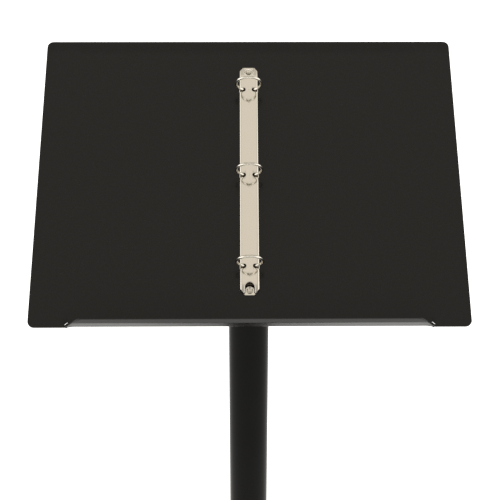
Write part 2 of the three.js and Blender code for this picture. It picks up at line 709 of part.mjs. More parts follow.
function addBracket(desk) {
  desk.add(pieceMesh('desk_bracket', deskBracket(), 'powderCoat'));
  const places = [['lower_left', -1, -1], ['lower_right', 1, -1], ['upper_left', -1, 1], ['upper_right', 1, 1]];
  for (const [name, x, y] of places) {
    const nut = pieceMesh(`bracket_nut_${name}`, bracketNut(), 'zinc');
    nut.position.set(x * STUD_X, DESK_HEIGHT / 2 + y * STUD_V, -SHEET - BRACKET_SHEET - 2 * GAP);
    desk.add(nut);
  }
}

function addMechanism(desk) {
  const mechanism = new THREE.Group();
  mechanism.position.set(0, MECHANISM_CENTRE, GAP);
  mechanism.add(pieceMesh('ring_cover', ringCover(), 'nickel'));
  for (const [name, end] of [['upper', 1], ['lower', -1]]) {
    const rivet = pieceMesh(`cover_rivet_${name}`, coverRivet(), 'nickel');
    rivet.position.y = end * (COVER_LENGTH / 2 - RIVET_INSET);
    mechanism.add(rivet);
  }
  for (const [name, side] of [['left', -1], ['right', 1]]) {
    mechanism.add(pieceMesh(`${name}_blade`, ringBlade(side), 'nickel'));
    for (const [place, y] of [['top', RING_PLACES[0]], ['middle', RING_PLACES[1]], ['bottom', RING_PLACES[2]]]) {
      const half = pieceMesh(`${name}_ring_${place}`, ringHalf(side), 'nickel');
      half.position.y = y;
      mechanism.add(half);
    }
  }
  desk.add(mechanism);
}

function addDesk(stand) {
  const desk = new THREE.Group();
  const slope = DESK_SLOPE * DEG;
  const up = new THREE.Vector3(0, Math.cos(slope), Math.sin(slope));
  const front = new THREE.Vector3(0, -Math.sin(slope), Math.cos(slope));
  desk.position.set(0, 0, PIVOT_HEIGHT);
  desk.position.addScaledVector(front, PIVOT_DEPTH).addScaledVector(up, -DESK_HEIGHT / 2);
  desk.rotation.x = slope;
  desk.add(pieceMesh('desk_panel', deskPanel(), 'powderCoat'));
  addBracket(desk);
  addTiltJoint(desk);
  addMechanism(desk);
  stand.add(desk);
}

const stand = new THREE.Group();
addBase(stand);
addHeightClamp(stand);
addUpperColumn(stand);
addDesk(stand);

export default stand;
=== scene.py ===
"""Looks of a floor-standing display desk for ring-bound pages.

A folded black steel desk with a nickel ring mechanism stands on a telescoping round column
with a weighted disc base. Every surface is worked out with numpy, in millimetres in the frame of
its own sub-assembly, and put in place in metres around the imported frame.
"""

import logging
import math
from dataclasses import dataclass, field
from enum import Enum

import bmesh
import bpy
import numpy as np
from mathutils import Matrix, Vector


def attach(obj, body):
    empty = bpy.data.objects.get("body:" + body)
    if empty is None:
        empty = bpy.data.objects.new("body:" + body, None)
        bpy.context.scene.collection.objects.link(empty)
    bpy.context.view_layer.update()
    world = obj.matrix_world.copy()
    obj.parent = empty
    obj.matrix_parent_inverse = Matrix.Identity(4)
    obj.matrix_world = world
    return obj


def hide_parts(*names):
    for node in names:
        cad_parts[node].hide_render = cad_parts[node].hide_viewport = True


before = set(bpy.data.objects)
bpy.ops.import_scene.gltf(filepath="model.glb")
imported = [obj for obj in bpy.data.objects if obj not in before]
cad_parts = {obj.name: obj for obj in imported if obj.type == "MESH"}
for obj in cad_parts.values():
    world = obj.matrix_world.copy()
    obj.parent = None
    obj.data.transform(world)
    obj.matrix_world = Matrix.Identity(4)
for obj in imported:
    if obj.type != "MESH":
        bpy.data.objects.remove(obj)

logging.basicConfig(level=logging.INFO, format="%(name)s: %(message)s")
LOG = logging.getLogger("display_desk")

MM = 0.001
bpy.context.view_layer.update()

Array = np.ndarray
Profile = list[tuple[float, float, float]]


class Body(Enum):
    """Rigid bodies of the frame that pieces ride on."""

    BASE = "base"
    HEIGHT_KNOB = "height_knob"
    UPPER_COLUMN = "upper_column"
    DESK = "desk"
    TILT_KNOB = "tilt_knob"
    LEFT_RINGS = "left_rings"
    RIGHT_RINGS = "right_rings"


class Side(Enum):
    """Left and right halves of the ring mechanism, as the sign of x."""

    LEFT = -1
    RIGHT = 1


# ------------------------------------------------------------------ numpy surfaces


@dataclass
class Skin:
    """Points and faces of one closed or open surface, in millimetres."""

    points: Array
    faces: list[Array]

    def moved(self, matrix: Matrix) -> "Skin":
        """The same skin with every point carried by matrix."""
        turn = np.array(matrix.to_3x3())
        shift = np.array(matrix.translation)
        return Skin(self.points @ turn.T + shift, self.faces)

    def shifted(self, x: float = 0.0, y: float = 0.0, z: float = 0.0) -> "Skin":
        """The same skin moved along the axes."""
        return Skin(self.points + np.array([x, y, z]), self.faces)

    def joined(self, *others: "Skin") -> "Skin":
        """This skin and the others as one, their points kept apart."""
        points, faces, count = [self.points], list(self.faces), len(self.points)
        for other in others:
            faces.extend(face + count for face in other.faces)
            points.append(other.points)
            count += len(other.points)
        return Skin(np.concatenate(points), faces)


def grid_skin(points: Array, wrap_rows: bool = False, wrap_columns: bool = False) -> Skin:
    """Quads between neighbouring points of a grid.

    Args:
        points: rows by columns by three coordinates.
        wrap_rows: True joins the last row to the first.
        wrap_columns: True joins the last column to the first.

    Returns:
        The skin of the grid, one block of faces with four corners each.
    """
    rows, columns = points.shape[:2]
    row = np.arange(rows if wrap_rows else rows - 1)[:, None]
    column = np.arange(columns if wrap_columns else columns - 1)[None, :]
    below = row * columns
    above = ((row + 1) % rows) * columns
    after = (column + 1) % columns
    quads = np.stack([below + column, below + after, above + after, above + column], axis=-1)
    return Skin(points.reshape(-1, 3), [quads.reshape(-1, 4)])


def rounded(corners: Profile, closed: bool = True, steps: int = 6) -> Array:
    """Polyline through corners that are rounded by arcs.

    Each arc touches both legs of its corner: its tangent points lie radius / tan(half the
    corner's angle) from the corner, and its points turn evenly from one to the other.

    Args:
        corners: (x, y, radius) of each corner.
        closed: True joins the last corner to the first.
        steps: number of steps in each arc.

    Returns:
        An array of points in the plane.
    """
    flat = np.array([corner[:2] for corner in corners], float)
    runs = []
    for index, (x, y, radius) in enumerate(corners):
        end = not closed and index in (0, len(corners) - 1)
        if radius <= 0 or end:
            runs.append(np.array([[x, y]]))
            continue
        corner = flat[index]
        back = flat[index - 1] - corner
        ahead = flat[(index + 1) % len(flat)] - corner
        back, ahead = back / np.linalg.norm(back), ahead / np.linalg.norm(ahead)
        half = math.acos(float(np.clip(back @ ahead, -1, 1))) / 2
        middle = (back + ahead) / np.linalg.norm(back + ahead)
        centre = corner + middle * radius / math.sin(half)
        start = corner + back * radius / math.tan(half) - centre
        finish = corner + ahead * radius / math.tan(half) - centre
        share = np.linspace(0, 1, steps + 1)[:, None]
        sweep = math.pi - 2 * half
        arc = (start * np.sin((1 - share) * sweep) + finish * np.sin(share * sweep)) / math.sin(sweep)
        runs.append(centre + arc)
    return np.concatenate(runs)


def revolved(radii: Array, heights: Array, segments: int = 96, bored: bool = True) -> Skin:
    """Skin turned about z, round or with a radius that changes with the angle.

    A point at level i and angle a is (radius_i(a) cos a, radius_i(a) sin a, height_i).

    Args:
        radii: levels, or levels by segments, in millimetres.
        heights: levels, or levels by segments.
        segments: number of steps round the axis.
        bored: True closes the last level onto the first, False closes both ends on the axis.

    Returns:
        The closed skin.
    """
    angle = np.linspace(0, 2 * np.pi, segments, endpoint=False)[None, :]
    radii = np.asarray(radii, float)
    heights = np.asarray(heights, float)
    radii = radii[:, None] * np.ones_like(angle) if radii.ndim == 1 else radii
    heights = heights[:, None] * np.ones_like(angle) if heights.ndim == 1 else heights
    points = np.stack([radii * np.cos(angle), radii * np.sin(angle), heights], axis=-1)
    if not bored:
        poles = np.zeros((2, segments, 3))
        poles[0, :, 2], poles[1, :, 2] = heights[0].mean(), heights[-1].mean()
        points = np.concatenate([poles[:1], points, poles[1:]])
    return grid_skin(points, wrap_rows=bored, wrap_columns=True)


def turned(corners: Profile, segments: int = 96, bored: bool = True, steps: int = 5) -> Skin:
    """Round part turned from (radius, height, corner rounding) corners."""
    line = rounded(corners, closed=bored, steps=steps)
    return revolved(line[:, 0], line[:, 1], segments, bored)


def rim_levels(bottom: float, top: float, rim: float, steps: int = 4) -> Array:
    """Levels of a prism with rounded rims, as rows of (height, inset).

    The inset falls from rim to 0 along a quarter circle at the bottom, and rises again at the top.
    """
    angle = np.linspace(0, np.pi / 2, steps + 1)
    lower = np.stack([bottom + rim * (1 - np.cos(angle)), rim * (1 - np.sin(angle))], axis=1)
    upper = np.stack([top - lower[::-1, 0] + bottom, lower[::-1, 1]], axis=1)
    return np.concatenate([lower, upper])


def prism(outline: Array, bottom: float, top: float, rim: float = 0.3) -> Skin:
    """Prism on a plane outline with rounded rims.

    Each level repeats the outline, moved inward along its own normals by the level's inset, and a
    flat face closes each end.

    Args:
        outline: points of the outline, anticlockwise.
        bottom: lower level.
        top: upper level.
        rim: radius of the rounded rims.

    Returns:
        The closed skin.
    """
    keep = np.linalg.norm(outline - np.roll(outline, 1, axis=0), axis=1) > 1e-6
    outline = outline[keep]
    along = np.roll(outline, -1, axis=0) - np.roll(outline, 1, axis=0)
    along /= np.linalg.norm(along, axis=1)[:, None]
    inward = np.stack([-along[:, 1], along[:, 0]], axis=1)
    levels = rim_levels(bottom, top, rim)
    flat = outline[None] + inward[None] * levels[:, 1, None, None]
    height = np.broadcast_to(levels[:, 0, None, None], flat.shape[:2] + (1,))
    skin = grid_skin(np.concatenate([flat, height], axis=-1), wrap_columns=True)
    count = len(outline)
    last = (len(levels) - 1) * count
    return Skin(skin.points, [*skin.faces, np.arange(count)[None, ::-1], last + np.arange(count)[None]])


def swept(path: Array, radii: Array, across: Array, sides: int = 24) -> Skin:
    """Round wire along a plane path, closed at both ends.

    A ring of points stands on each path point in the plane of the path's normal and across, at
    that point's radius, and the ends close on the path.

    Args:
        path: points by three coordinates.
        radii: radius at each point.
        across: unit vector square to the path's plane.
        sides: number of sides round the wire.

    Returns:
        The closed skin.
    """
    along = np.gradient(path, axis=0)
    along /= np.linalg.norm(along, axis=1)[:, None]
    normal = np.cross(across, along)
    angle = np.linspace(0, 2 * np.pi, sides, endpoint=False)
    ring = np.cos(angle)[None, :, None] * normal[:, None] + np.sin(angle)[None, :, None] * across
    rings = path[:, None] + radii[:, None, None] * ring
    ends = np.broadcast_to(path[[0, -1], None], (2, sides, 3))
    return grid_skin(np.concatenate([ends[:1], rings, ends[1:]]), wrap_columns=True)


def threaded(radius: float, bottom: float, top: float, pitch: float, segments: int = 32) -> Skin:
    """Threaded rod along z.

    Its radius is the outer radius less a ridge depth times a triangle wave of
    (height / pitch - angle / one turn), and it tapers over its last millimetre at both ends.
    """
    depth = 0.54 * pitch
    heights = np.linspace(bottom, top, max(8, int((top - bottom) / pitch * 6)))[:, None]
    turn = np.linspace(0, 1, segments, endpoint=False)[None, :]
    wave = np.abs(2 * np.mod(heights / pitch - turn, 1) - 1)
    ends = np.minimum(heights - bottom, top - heights)
    radii = radius - depth * wave - np.clip(0.8 - ends, 0, None)
    return revolved(radii, heights[:, 0], segments, bored=False)


def hexagon_head(flats: float, bottom: float, top: float, bore: float = 0.0) -> Skin:
    """Hexagon nut or bolt head with its corners turned off.

    The hexagon's radius at an angle is half its width across flats over the cosine of the angle
    from the nearest flat's middle. The outer radius is the smaller of that and a cone that falls
    30 degrees from the flats' circle at both ends.
    """
    segments = 120
    angle = np.linspace(0, 360, segments, endpoint=False)
    hexagon = flats / 2 / np.cos(np.radians((angle + 30) % 60 - 30))
    heights = np.concatenate([[bottom], np.linspace(bottom, top, 15), [top]])
    rise = np.minimum(heights - bottom, top - heights)[:, None]
    cone = flats / 2 * 0.98 + rise * math.tan(math.radians(60))
    radii = np.minimum(hexagon[None], cone)
    if bore <= 0:
        return revolved(radii, heights, segments, bored=False)
    mouth = bore + 0.5
    inner = np.array([[mouth, top], [bore, top - 0.5], [bore, bottom + 0.5], [mouth, bottom]])
    radii = np.concatenate([radii, np.repeat(inner[:, :1], segments, axis=1)])
    return revolved(radii, np.concatenate([heights, inner[:, 1]]), segments)


def lobed_grip(hole: float) -> Skin:
    """Five-lobed hand grip about z, seated at z = 0, with a hub below and a dished top.

    Its radius is a profile of height times (1 + lobe depth times the cosine of five times the
    angle), and the lobes fade out towards the hub and the dish.
    """
    segments = 160
    corners = [
        (hole, 15, 0), (hole, 0.3, 0), (hole + 0.6, 0, 0), (9, 0, 0.5), (9, 8, 1.2),
        (17.6, 8, 1.4), (19.2, 12, 2.5), (19.2, 20.5, 2.8), (16.2, 25, 2.2), (10, 25, 0.8),
        (7.5, 23.8, 1.5), (0, 23.4, 0),
    ]
    line = rounded(corners, closed=False, steps=7)
    angle = np.linspace(0, 2 * np.pi, segments, endpoint=False)[None, :]
    share = np.clip((line[:, :1] - 9.5) / 9, 0, 1) ** 1.5
    radii = line[:, :1] * (1 + 0.125 * share * np.cos(5 * angle))
    return revolved(radii, line[:, 1], segments, bored=False)


# ------------------------------------------------------------------ meshes and pieces


def to_object(name: str, skin: Skin, closed: bool = True) -> bpy.types.Object:
    """Object at the origin with a skin's mesh in metres, its doubles merged.

    Args:
        name: name of the object and its mesh.
        skin: the surface, in millimetres.
        closed: True turns the faces of a closed surface outwards.

    Returns:
        The object, linked to the scene.
    """
    mesh = bpy.data.meshes.new(name)
    faces = [tuple(face) for block in skin.faces for face in block.tolist()]
    mesh.from_pydata((skin.points * MM).tolist(), [], faces)
    work = bmesh.new()
    work.from_mesh(mesh)
    bmesh.ops.remove_doubles(work, verts=work.verts, dist=2e-7)
    bmesh.ops.dissolve_degenerate(work, edges=work.edges, dist=2e-7)
    if closed:
        bmesh.ops.recalc_face_normals(work, faces=work.faces)
    work.to_mesh(mesh)
    work.free()
    made = bpy.data.objects.new(name, mesh)
    bpy.context.scene.collection.objects.link(made)
    return made


@dataclass
class Piece:
    """A piece under way: the CAD node it stands for, its first surface and its Blender object."""

    node: str
    skin: Skin
    closed: bool = True
    item: bpy.types.Object = field(init=False)

    def __post_init__(self) -> None:
        """Makes the object."""
        self.item = to_object(f"{self.node}_detail", self.skin, self.closed)

    def bake(self) -> None:
        """Replaces the mesh by what the modifiers make of it."""
        graph = bpy.context.evaluated_depsgraph_get()
        result = bpy.data.meshes.new_from_object(self.item.evaluated_get(graph))
        old = self.item.data
        self.item.modifiers.clear()
        self.item.data = result
        bpy.data.meshes.remove(old)

    def _combine(self, operation: str, skins: tuple[Skin, ...]) -> None:
        """Runs one boolean for each skin."""
        for skin in skins:
            tool = to_object("tool", skin)
            boolean = self.item.modifiers.new("combine", "BOOLEAN")
            boolean.operation = operation
            boolean.solver = "EXACT"
            boolean.object = tool
            self.bake()
            bpy.data.objects.remove(tool)

    def cut(self, *skins: Skin) -> None:
        """Cuts closed skins out of the piece."""
        self._combine("DIFFERENCE", skins)

    def weld(self, *skins: Skin) -> None:
        """Joins closed skins that overlap the piece to it."""
        self._combine("UNION", skins)

    def add(self, *skins: Skin) -> None:
        """Adds closed skins without joining their surfaces to the piece's."""
        work = bmesh.new()
        work.from_mesh(self.item.data)
        for skin in skins:
            extra = to_object("extra", skin)
            work.from_mesh(extra.data)
            bpy.data.objects.remove(extra)
        work.to_mesh(self.item.data)
        work.free()

    def thicken(self, thickness: float) -> None:
        """Gives an open sheet its thickness, in millimetres, behind its faces."""
        wall = self.item.modifiers.new("sheet", "SOLIDIFY")
        wall.thickness = thickness * MM
        wall.offset = -1
        wall.use_even_offset = True
        self.bake()

    def soften(self, width: float, segments: int = 2, angle: float = 38) -> None:
        """Rounds edges sharper than angle degrees by width millimetres."""
        bevel = self.item.modifiers.new("soft_edges", "BEVEL")
        bevel.width = width * MM
        bevel.segments = segments
        bevel.limit_method = "ANGLE"
        bevel.angle_limit = math.radians(angle)
        self.bake()

    def move(self, matrix: Matrix) -> None:
        """Carries the mesh by a matrix in millimetres."""
        metres = matrix.copy()
        metres.translation = metres.translation * MM
        self.item.data.transform(metres)

    def publish(
        self, body: Body, finish: "Finish", place: Matrix | None = None, crease: float = 40
    ) -> None:
        """Puts the piece in place, dresses it and hands it to its body.

        Args:
            body: the body it rides on.
            finish: its finish.
            place: its sub-assembly's frame, in millimetres, if that isn't the frame's own.
            crease: edges sharper than this many degrees stay sharp.
        """
        if place is not None:
            self.move(place)
        mesh = self.item.data
        mesh.shade_smooth()
        mesh.set_sharp_from_angle(angle=math.radians(crease))
        mesh.materials.clear()
        mesh.materials.append(finish.material())
        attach(self.item, body.value)
        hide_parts(self.node)
        LOG.info("%s rides on %s with %d faces", self.item.name, body.value, len(mesh.polygons))


# ------------------------------------------------------------------ shader groups


class Sockets(Enum):
    """Socket types of the shared shader groups."""

    FLOAT = "NodeSocketFloat"
    VECTOR = "NodeSocketVector"


@dataclass
class GroupMaker:
    """Builds one shared shader group and keeps its nodes short to write."""

    name: str
    inputs: list[tuple[str, Sockets, float | None]]
    outputs: list[tuple[str, Sockets]]
    tree: bpy.types.NodeTree = field(init=False)

    def __post_init__(self) -> None:
        """Makes the empty group with its sockets."""
        self.tree = bpy.data.node_groups.new(self.name, "ShaderNodeTree")
        for label, kind, value in self.inputs:
            socket = self.tree.interface.new_socket(label, in_out="INPUT", socket_type=kind.value)
            if value is not None:
                socket.default_value = value
        for label, kind in self.outputs:
            self.tree.interface.new_socket(label, in_out="OUTPUT", socket_type=kind.value)
        self.entry = self.tree.nodes.new("NodeGroupInput")
        self.exit = self.tree.nodes.new("NodeGroupOutput")

    def node(self, kind: str, **settings) -> bpy.types.Node:
        """Adds a node and sets its properties."""
        return add_node(self.tree, kind, **settings)

    def link(self, start: bpy.types.NodeSocket, end: bpy.types.NodeSocket) -> None:
        """Joins two sockets."""
        self.tree.links.new(start, end)


def add_node(tree: bpy.types.NodeTree, kind: str, **settings) -> bpy.types.Node:
    """Adds a node of a kind to a tree; settings name its properties or, with in_, its inputs."""
    node = tree.nodes.new(kind)
    for key, value in settings.items():
        if key.startswith("in_"):
            node.inputs[int(key[3:])].default_value = value
        else:
            setattr(node, key, value)
    return node


def peel_group() -> bpy.types.NodeTree:
    """Orange peel of a sprayed or baked coat: two sizes of noise as a height, and a soft mottle."""
    make = GroupMaker(
        "coat_peel",
        [("Vector", Sockets.VECTOR, None), ("Size", Sockets.FLOAT, 900.0), ("Fine", Sockets.FLOAT, 0.35)],
        [("Height", Sockets.FLOAT), ("Mottle", Sockets.FLOAT)],
    )
    coarse = make.node("ShaderNodeTexNoise", noise_dimensions="3D", in_3=2.0, in_4=0.5)
    fine = make.node("ShaderNodeTexNoise", noise_dimensions="3D", in_3=1.0, in_4=0.6)
    triple = make.node("ShaderNodeMath", operation="MULTIPLY", in_1=3.1)
    mix = make.node("ShaderNodeMix", data_type="FLOAT")
    broad = make.node("ShaderNodeTexNoise", noise_dimensions="3D", in_2=9.0, in_3=3.0, in_4=0.55)
    for noise in (coarse, fine, broad):
        make.link(make.entry.outputs["Vector"], noise.inputs["Vector"])
    make.link(make.entry.outputs["Size"], coarse.inputs["Scale"])
    make.link(make.entry.outputs["Size"], triple.inputs[0])
    make.link(triple.outputs[0], fine.inputs["Scale"])
    make.link(make.entry.outputs["Fine"], mix.inputs[0])
    make.link(coarse.outputs[0], mix.inputs[2])
    make.link(fine.outputs[0], mix.inputs[3])
    make.link(mix.outputs[0], make.exit.inputs["Height"])
    make.link(broad.outputs[0], make.exit.inputs["Mottle"])
    return make.tree


def streak_group() -> bpy.types.NodeTree:
    """Fine drawn lines: noise squeezed across and stretched along the piece, as a height and a mask."""
    make = GroupMaker(
        "drawn_lines",
        [("Vector", Sockets.VECTOR, None), ("Across", Sockets.FLOAT, 2600.0)],
        [("Height", Sockets.FLOAT), ("Mask", Sockets.FLOAT)],
    )
    squeeze = make.node("ShaderNodeMapping", vector_type="POINT")
    squeeze.inputs["Scale"].default_value = (1.0, 0.012, 0.012)
    lines = make.node("ShaderNodeTexNoise", noise_dimensions="3D", in_3=2.0, in_4=0.6)
    cloud = make.node("ShaderNodeTexNoise", noise_dimensions="3D", in_2=60.0, in_3=2.0, in_4=0.5)
    both = make.node("ShaderNodeMath", operation="MULTIPLY")
    make.link(make.entry.outputs["Vector"], squeeze.inputs["Vector"])
    make.link(squeeze.outputs[0], lines.inputs["Vector"])
    make.link(make.entry.outputs["Across"], lines.inputs["Scale"])
    make.link(make.entry.outputs["Vector"], cloud.inputs["Vector"])
    make.link(lines.outputs[0], both.inputs[0])
    make.link(cloud.outputs[0], both.inputs[1])
    make.link(lines.outputs[0], make.exit.inputs["Height"])
    make.link(both.outputs[0], make.exit.inputs["Mask"])
    return make.tree


def dust_group() -> bpy.types.NodeTree:
    """Thin dust on what faces up: the upward share of the normal times patchy noise, as a mask."""
    make = GroupMaker(
        "settled_dust",
        [("Vector", Sockets.VECTOR, None), ("Amount", Sockets.FLOAT, 0.1), ("Normal", Sockets.VECTOR, None)],
        [("Mask", Sockets.FLOAT)],
    )
    split = make.node("ShaderNodeSeparateXYZ")
    facing = make.node("ShaderNodeMapRange", in_1=0.3, in_2=1.0)
    specks = make.node("ShaderNodeTexNoise", noise_dimensions="3D", in_2=420.0, in_3=4.0, in_4=0.7)
    patchy = make.node("ShaderNodeMapRange", in_1=0.48, in_2=0.75)
    both = make.node("ShaderNodeMath", operation="MULTIPLY")
    scaled = make.node("ShaderNodeMath", operation="MULTIPLY")
    make.link(make.entry.outputs["Normal"], split.inputs[0])
    make.link(split.outputs["Z"], facing.inputs["Value"])
    make.link(make.entry.outputs["Vector"], specks.inputs["Vector"])
    make.link(specks.outputs[0], patchy.inputs["Value"])
    make.link(facing.outputs[0], both.inputs[0])
    make.link(patchy.outputs[0], both.inputs[1])
    make.link(both.outputs[0], scaled.inputs[0])
    make.link(make.entry.outputs["Amount"], scaled.inputs[1])
    make.link(scaled.outputs[0], make.exit.inputs["Mask"])
    return make.tree


class Effect(Enum):
    """Shared shader groups, built once when first used."""

    PEEL = "coat_peel"
    STREAKS = "drawn_lines"
    DUST = "settled_dust"

    def tree(self) -> bpy.types.NodeTree:
        """The group's node tree."""
        makers = {Effect.PEEL: peel_group, Effect.STREAKS: streak_group, Effect.DUST: dust_group}
        return bpy.data.node_groups.get(self.value) or makers[self]()


# ------------------------------------------------------------------ finishes

Colour = tuple[float, float, float]


@dataclass(frozen=True)
class Finish:
    """One finish: its record slot, its colours and how its surface is broken up."""

    slot: str
    name: str
    colour: Colour
    second: Colour
    roughness: tuple[float, float]
    metallic: float = 0.0
    specular: float = 0.5
    effect: Effect = Effect.PEEL
    size: float = 900.0
    bump: float = 0.1
    bump_distance: float = 0.00002
    dust: float = 0.05
    coat: float = 0.0
    coat_roughness: float = 0.1

    def material(self) -> bpy.types.Material:
        """The Blender material, made once.

        Returns:
            A material whose colour and roughness vary between two values with its effect's mask,
            with the effect's height as bump and dust over the colour.
        """
        made = bpy.data.materials.get(self.name)
        if made:
            return made
        made = bpy.data.materials.new(self.name)
        made.use_nodes = True
        tree = made.node_tree
        shader = tree.nodes["Principled BSDF"]
        shader.inputs["Metallic"].default_value = self.metallic
        shader.inputs["Specular IOR Level"].default_value = self.specular
        shader.inputs["Coat Weight"].default_value = self.coat
        shader.inputs["Coat Roughness"].default_value = self.coat_roughness
        texture = tree.nodes.new("ShaderNodeTexCoord")
        place = texture.outputs["Object"]
        effect = self._group(tree, self.effect, place)
        effect.inputs[1].default_value = self.size
        mask = effect.outputs[1]
        spread = add_node(tree, "ShaderNodeMapRange", in_1=0.3, in_2=0.7)
        tree.links.new(mask, spread.inputs["Value"])
        dusty = self._group(tree, Effect.DUST, place)
        dusty.inputs["Amount"].default_value = self.dust
        tree.links.new(texture.outputs["Normal"], dusty.inputs["Normal"])
        tint = self._colour_mix(tree, spread.outputs[0], self.colour, self.second)
        veil = self._colour_mix(tree, dusty.outputs[0], None, (0.42, 0.40, 0.37))
        tree.links.new(tint.outputs[2], veil.inputs[6])
        tree.links.new(veil.outputs[2], shader.inputs["Base Color"])
        low, high = self.roughness
        rough = add_node(tree, "ShaderNodeMapRange", in_1=0.3, in_2=0.7, in_3=low, in_4=high)
        tree.links.new(mask, rough.inputs["Value"])
        tree.links.new(rough.outputs[0], shader.inputs["Roughness"])
        bump = add_node(tree, "ShaderNodeBump")
        bump.inputs["Strength"].default_value = self.bump
        bump.inputs["Distance"].default_value = self.bump_distance
        tree.links.new(effect.outputs["Height"], bump.inputs["Height"])
        tree.links.new(bump.outputs[0], shader.inputs["Normal"])
        return made

    @staticmethod
    def _group(tree: bpy.types.NodeTree, effect: Effect, place: bpy.types.NodeSocket) -> bpy.types.Node:
        """A shared group placed in a material on Object coordinates."""
        node = tree.nodes.new("ShaderNodeGroup")
        node.node_tree = effect.tree()
        tree.links.new(place, node.inputs["Vector"])
        return node

    @staticmethod
    def _colour_mix(
        tree: bpy.types.NodeTree, mask: bpy.types.NodeSocket, first: Colour | None, second: Colour
    ) -> bpy.types.Node:
        """A colour mix driven by a mask, its first colour left open where first is None."""
        mix = add_node(tree, "ShaderNodeMix", data_type="RGBA")
        tree.links.new(mask, mix.inputs[0])
        if first is not None:
            mix.inputs[6].default_value = (*first, 1.0)
        mix.inputs[7].default_value = (*second, 1.0)
        return mix


POWDER_COAT = Finish(
    slot="powder_coat", name="fine_textured_black_coat",
    colour=(0.0060, 0.0058, 0.0053), second=(0.0066, 0.0063, 0.0058),
    roughness=(0.16, 0.22), specular=0.23, size=1500.0, bump=0.35, bump_distance=0.00005, dust=0.012,
)
COLUMN_COAT = Finish(
    slot="column_coat", name="satin_black_column_coat",
    colour=(0.0070, 0.0070, 0.0064), second=(0.0084, 0.0084, 0.0077),
    roughness=(0.20, 0.26), specular=0.03, size=1100.0, bump=0.12, bump_distance=0.00003, dust=0.01,
)
NICKEL = Finish(
    slot="nickel", name="bright_nickel_plate",
    colour=(0.675, 0.635, 0.56), second=(0.71, 0.675, 0.605),
    roughness=(0.11, 0.17), metallic=1.0, effect=Effect.STREAKS, size=2600.0,
    bump=0.10, bump_distance=0.000004, dust=0.0,
)
# Painted shade: the same nickel as the cover, its colour darkened to stand in for the shade under the cover
# and in the wire slots and mouths.
NICKEL_PAINTED_SHADE_INSIDE = Finish(
    slot="nickel", name="nickel_with_painted_shade_inside",
    colour=(0.16, 0.13, 0.10), second=(0.22, 0.18, 0.14),
    roughness=(0.35, 0.5), metallic=1.0, size=800.0, bump=0.15, bump_distance=0.00001, dust=0.0,
)
ZINC = Finish(
    slot="zinc", name="bright_zinc_plate",
    colour=(0.50, 0.51, 0.53), second=(0.60, 0.60, 0.58),
    roughness=(0.26, 0.40), metallic=1.0, size=700.0, bump=0.10, bump_distance=0.00001, dust=0.02,
)
CAST_PAINT = Finish(
    slot="cast_alloy", name="black_painted_casting",
    colour=(0.011, 0.011, 0.011), second=(0.016, 0.016, 0.016),
    roughness=(0.42, 0.55), size=420.0, bump=0.5, bump_distance=0.00009, dust=0.02,
)
NYLON = Finish(
    slot="nylon", name="natural_nylon",
    colour=(0.62, 0.59, 0.51), second=(0.68, 0.65, 0.57),
    roughness=(0.45, 0.6), size=900.0, bump=0.15, bump_distance=0.00003, dust=0.0,
)
BLACK_PLASTIC = Finish(
    slot="black_plastic", name="moulded_black_plastic",
    colour=(0.011, 0.011, 0.0115), second=(0.016, 0.016, 0.0165),
    roughness=(0.38, 0.5), size=1300.0, bump=0.5, bump_distance=0.00006, dust=0.03,
)
RUBBER = Finish(
    slot="rubber", name="black_rubber",
    colour=(0.012, 0.012, 0.012), second=(0.02, 0.02, 0.02),
    roughness=(0.75, 0.9), size=1000.0, bump=0.4, bump_distance=0.00008, dust=0.06,
)


# ------------------------------------------------------------------ base and lower column

CLEAR = 0.3  # gap between neighbouring pieces


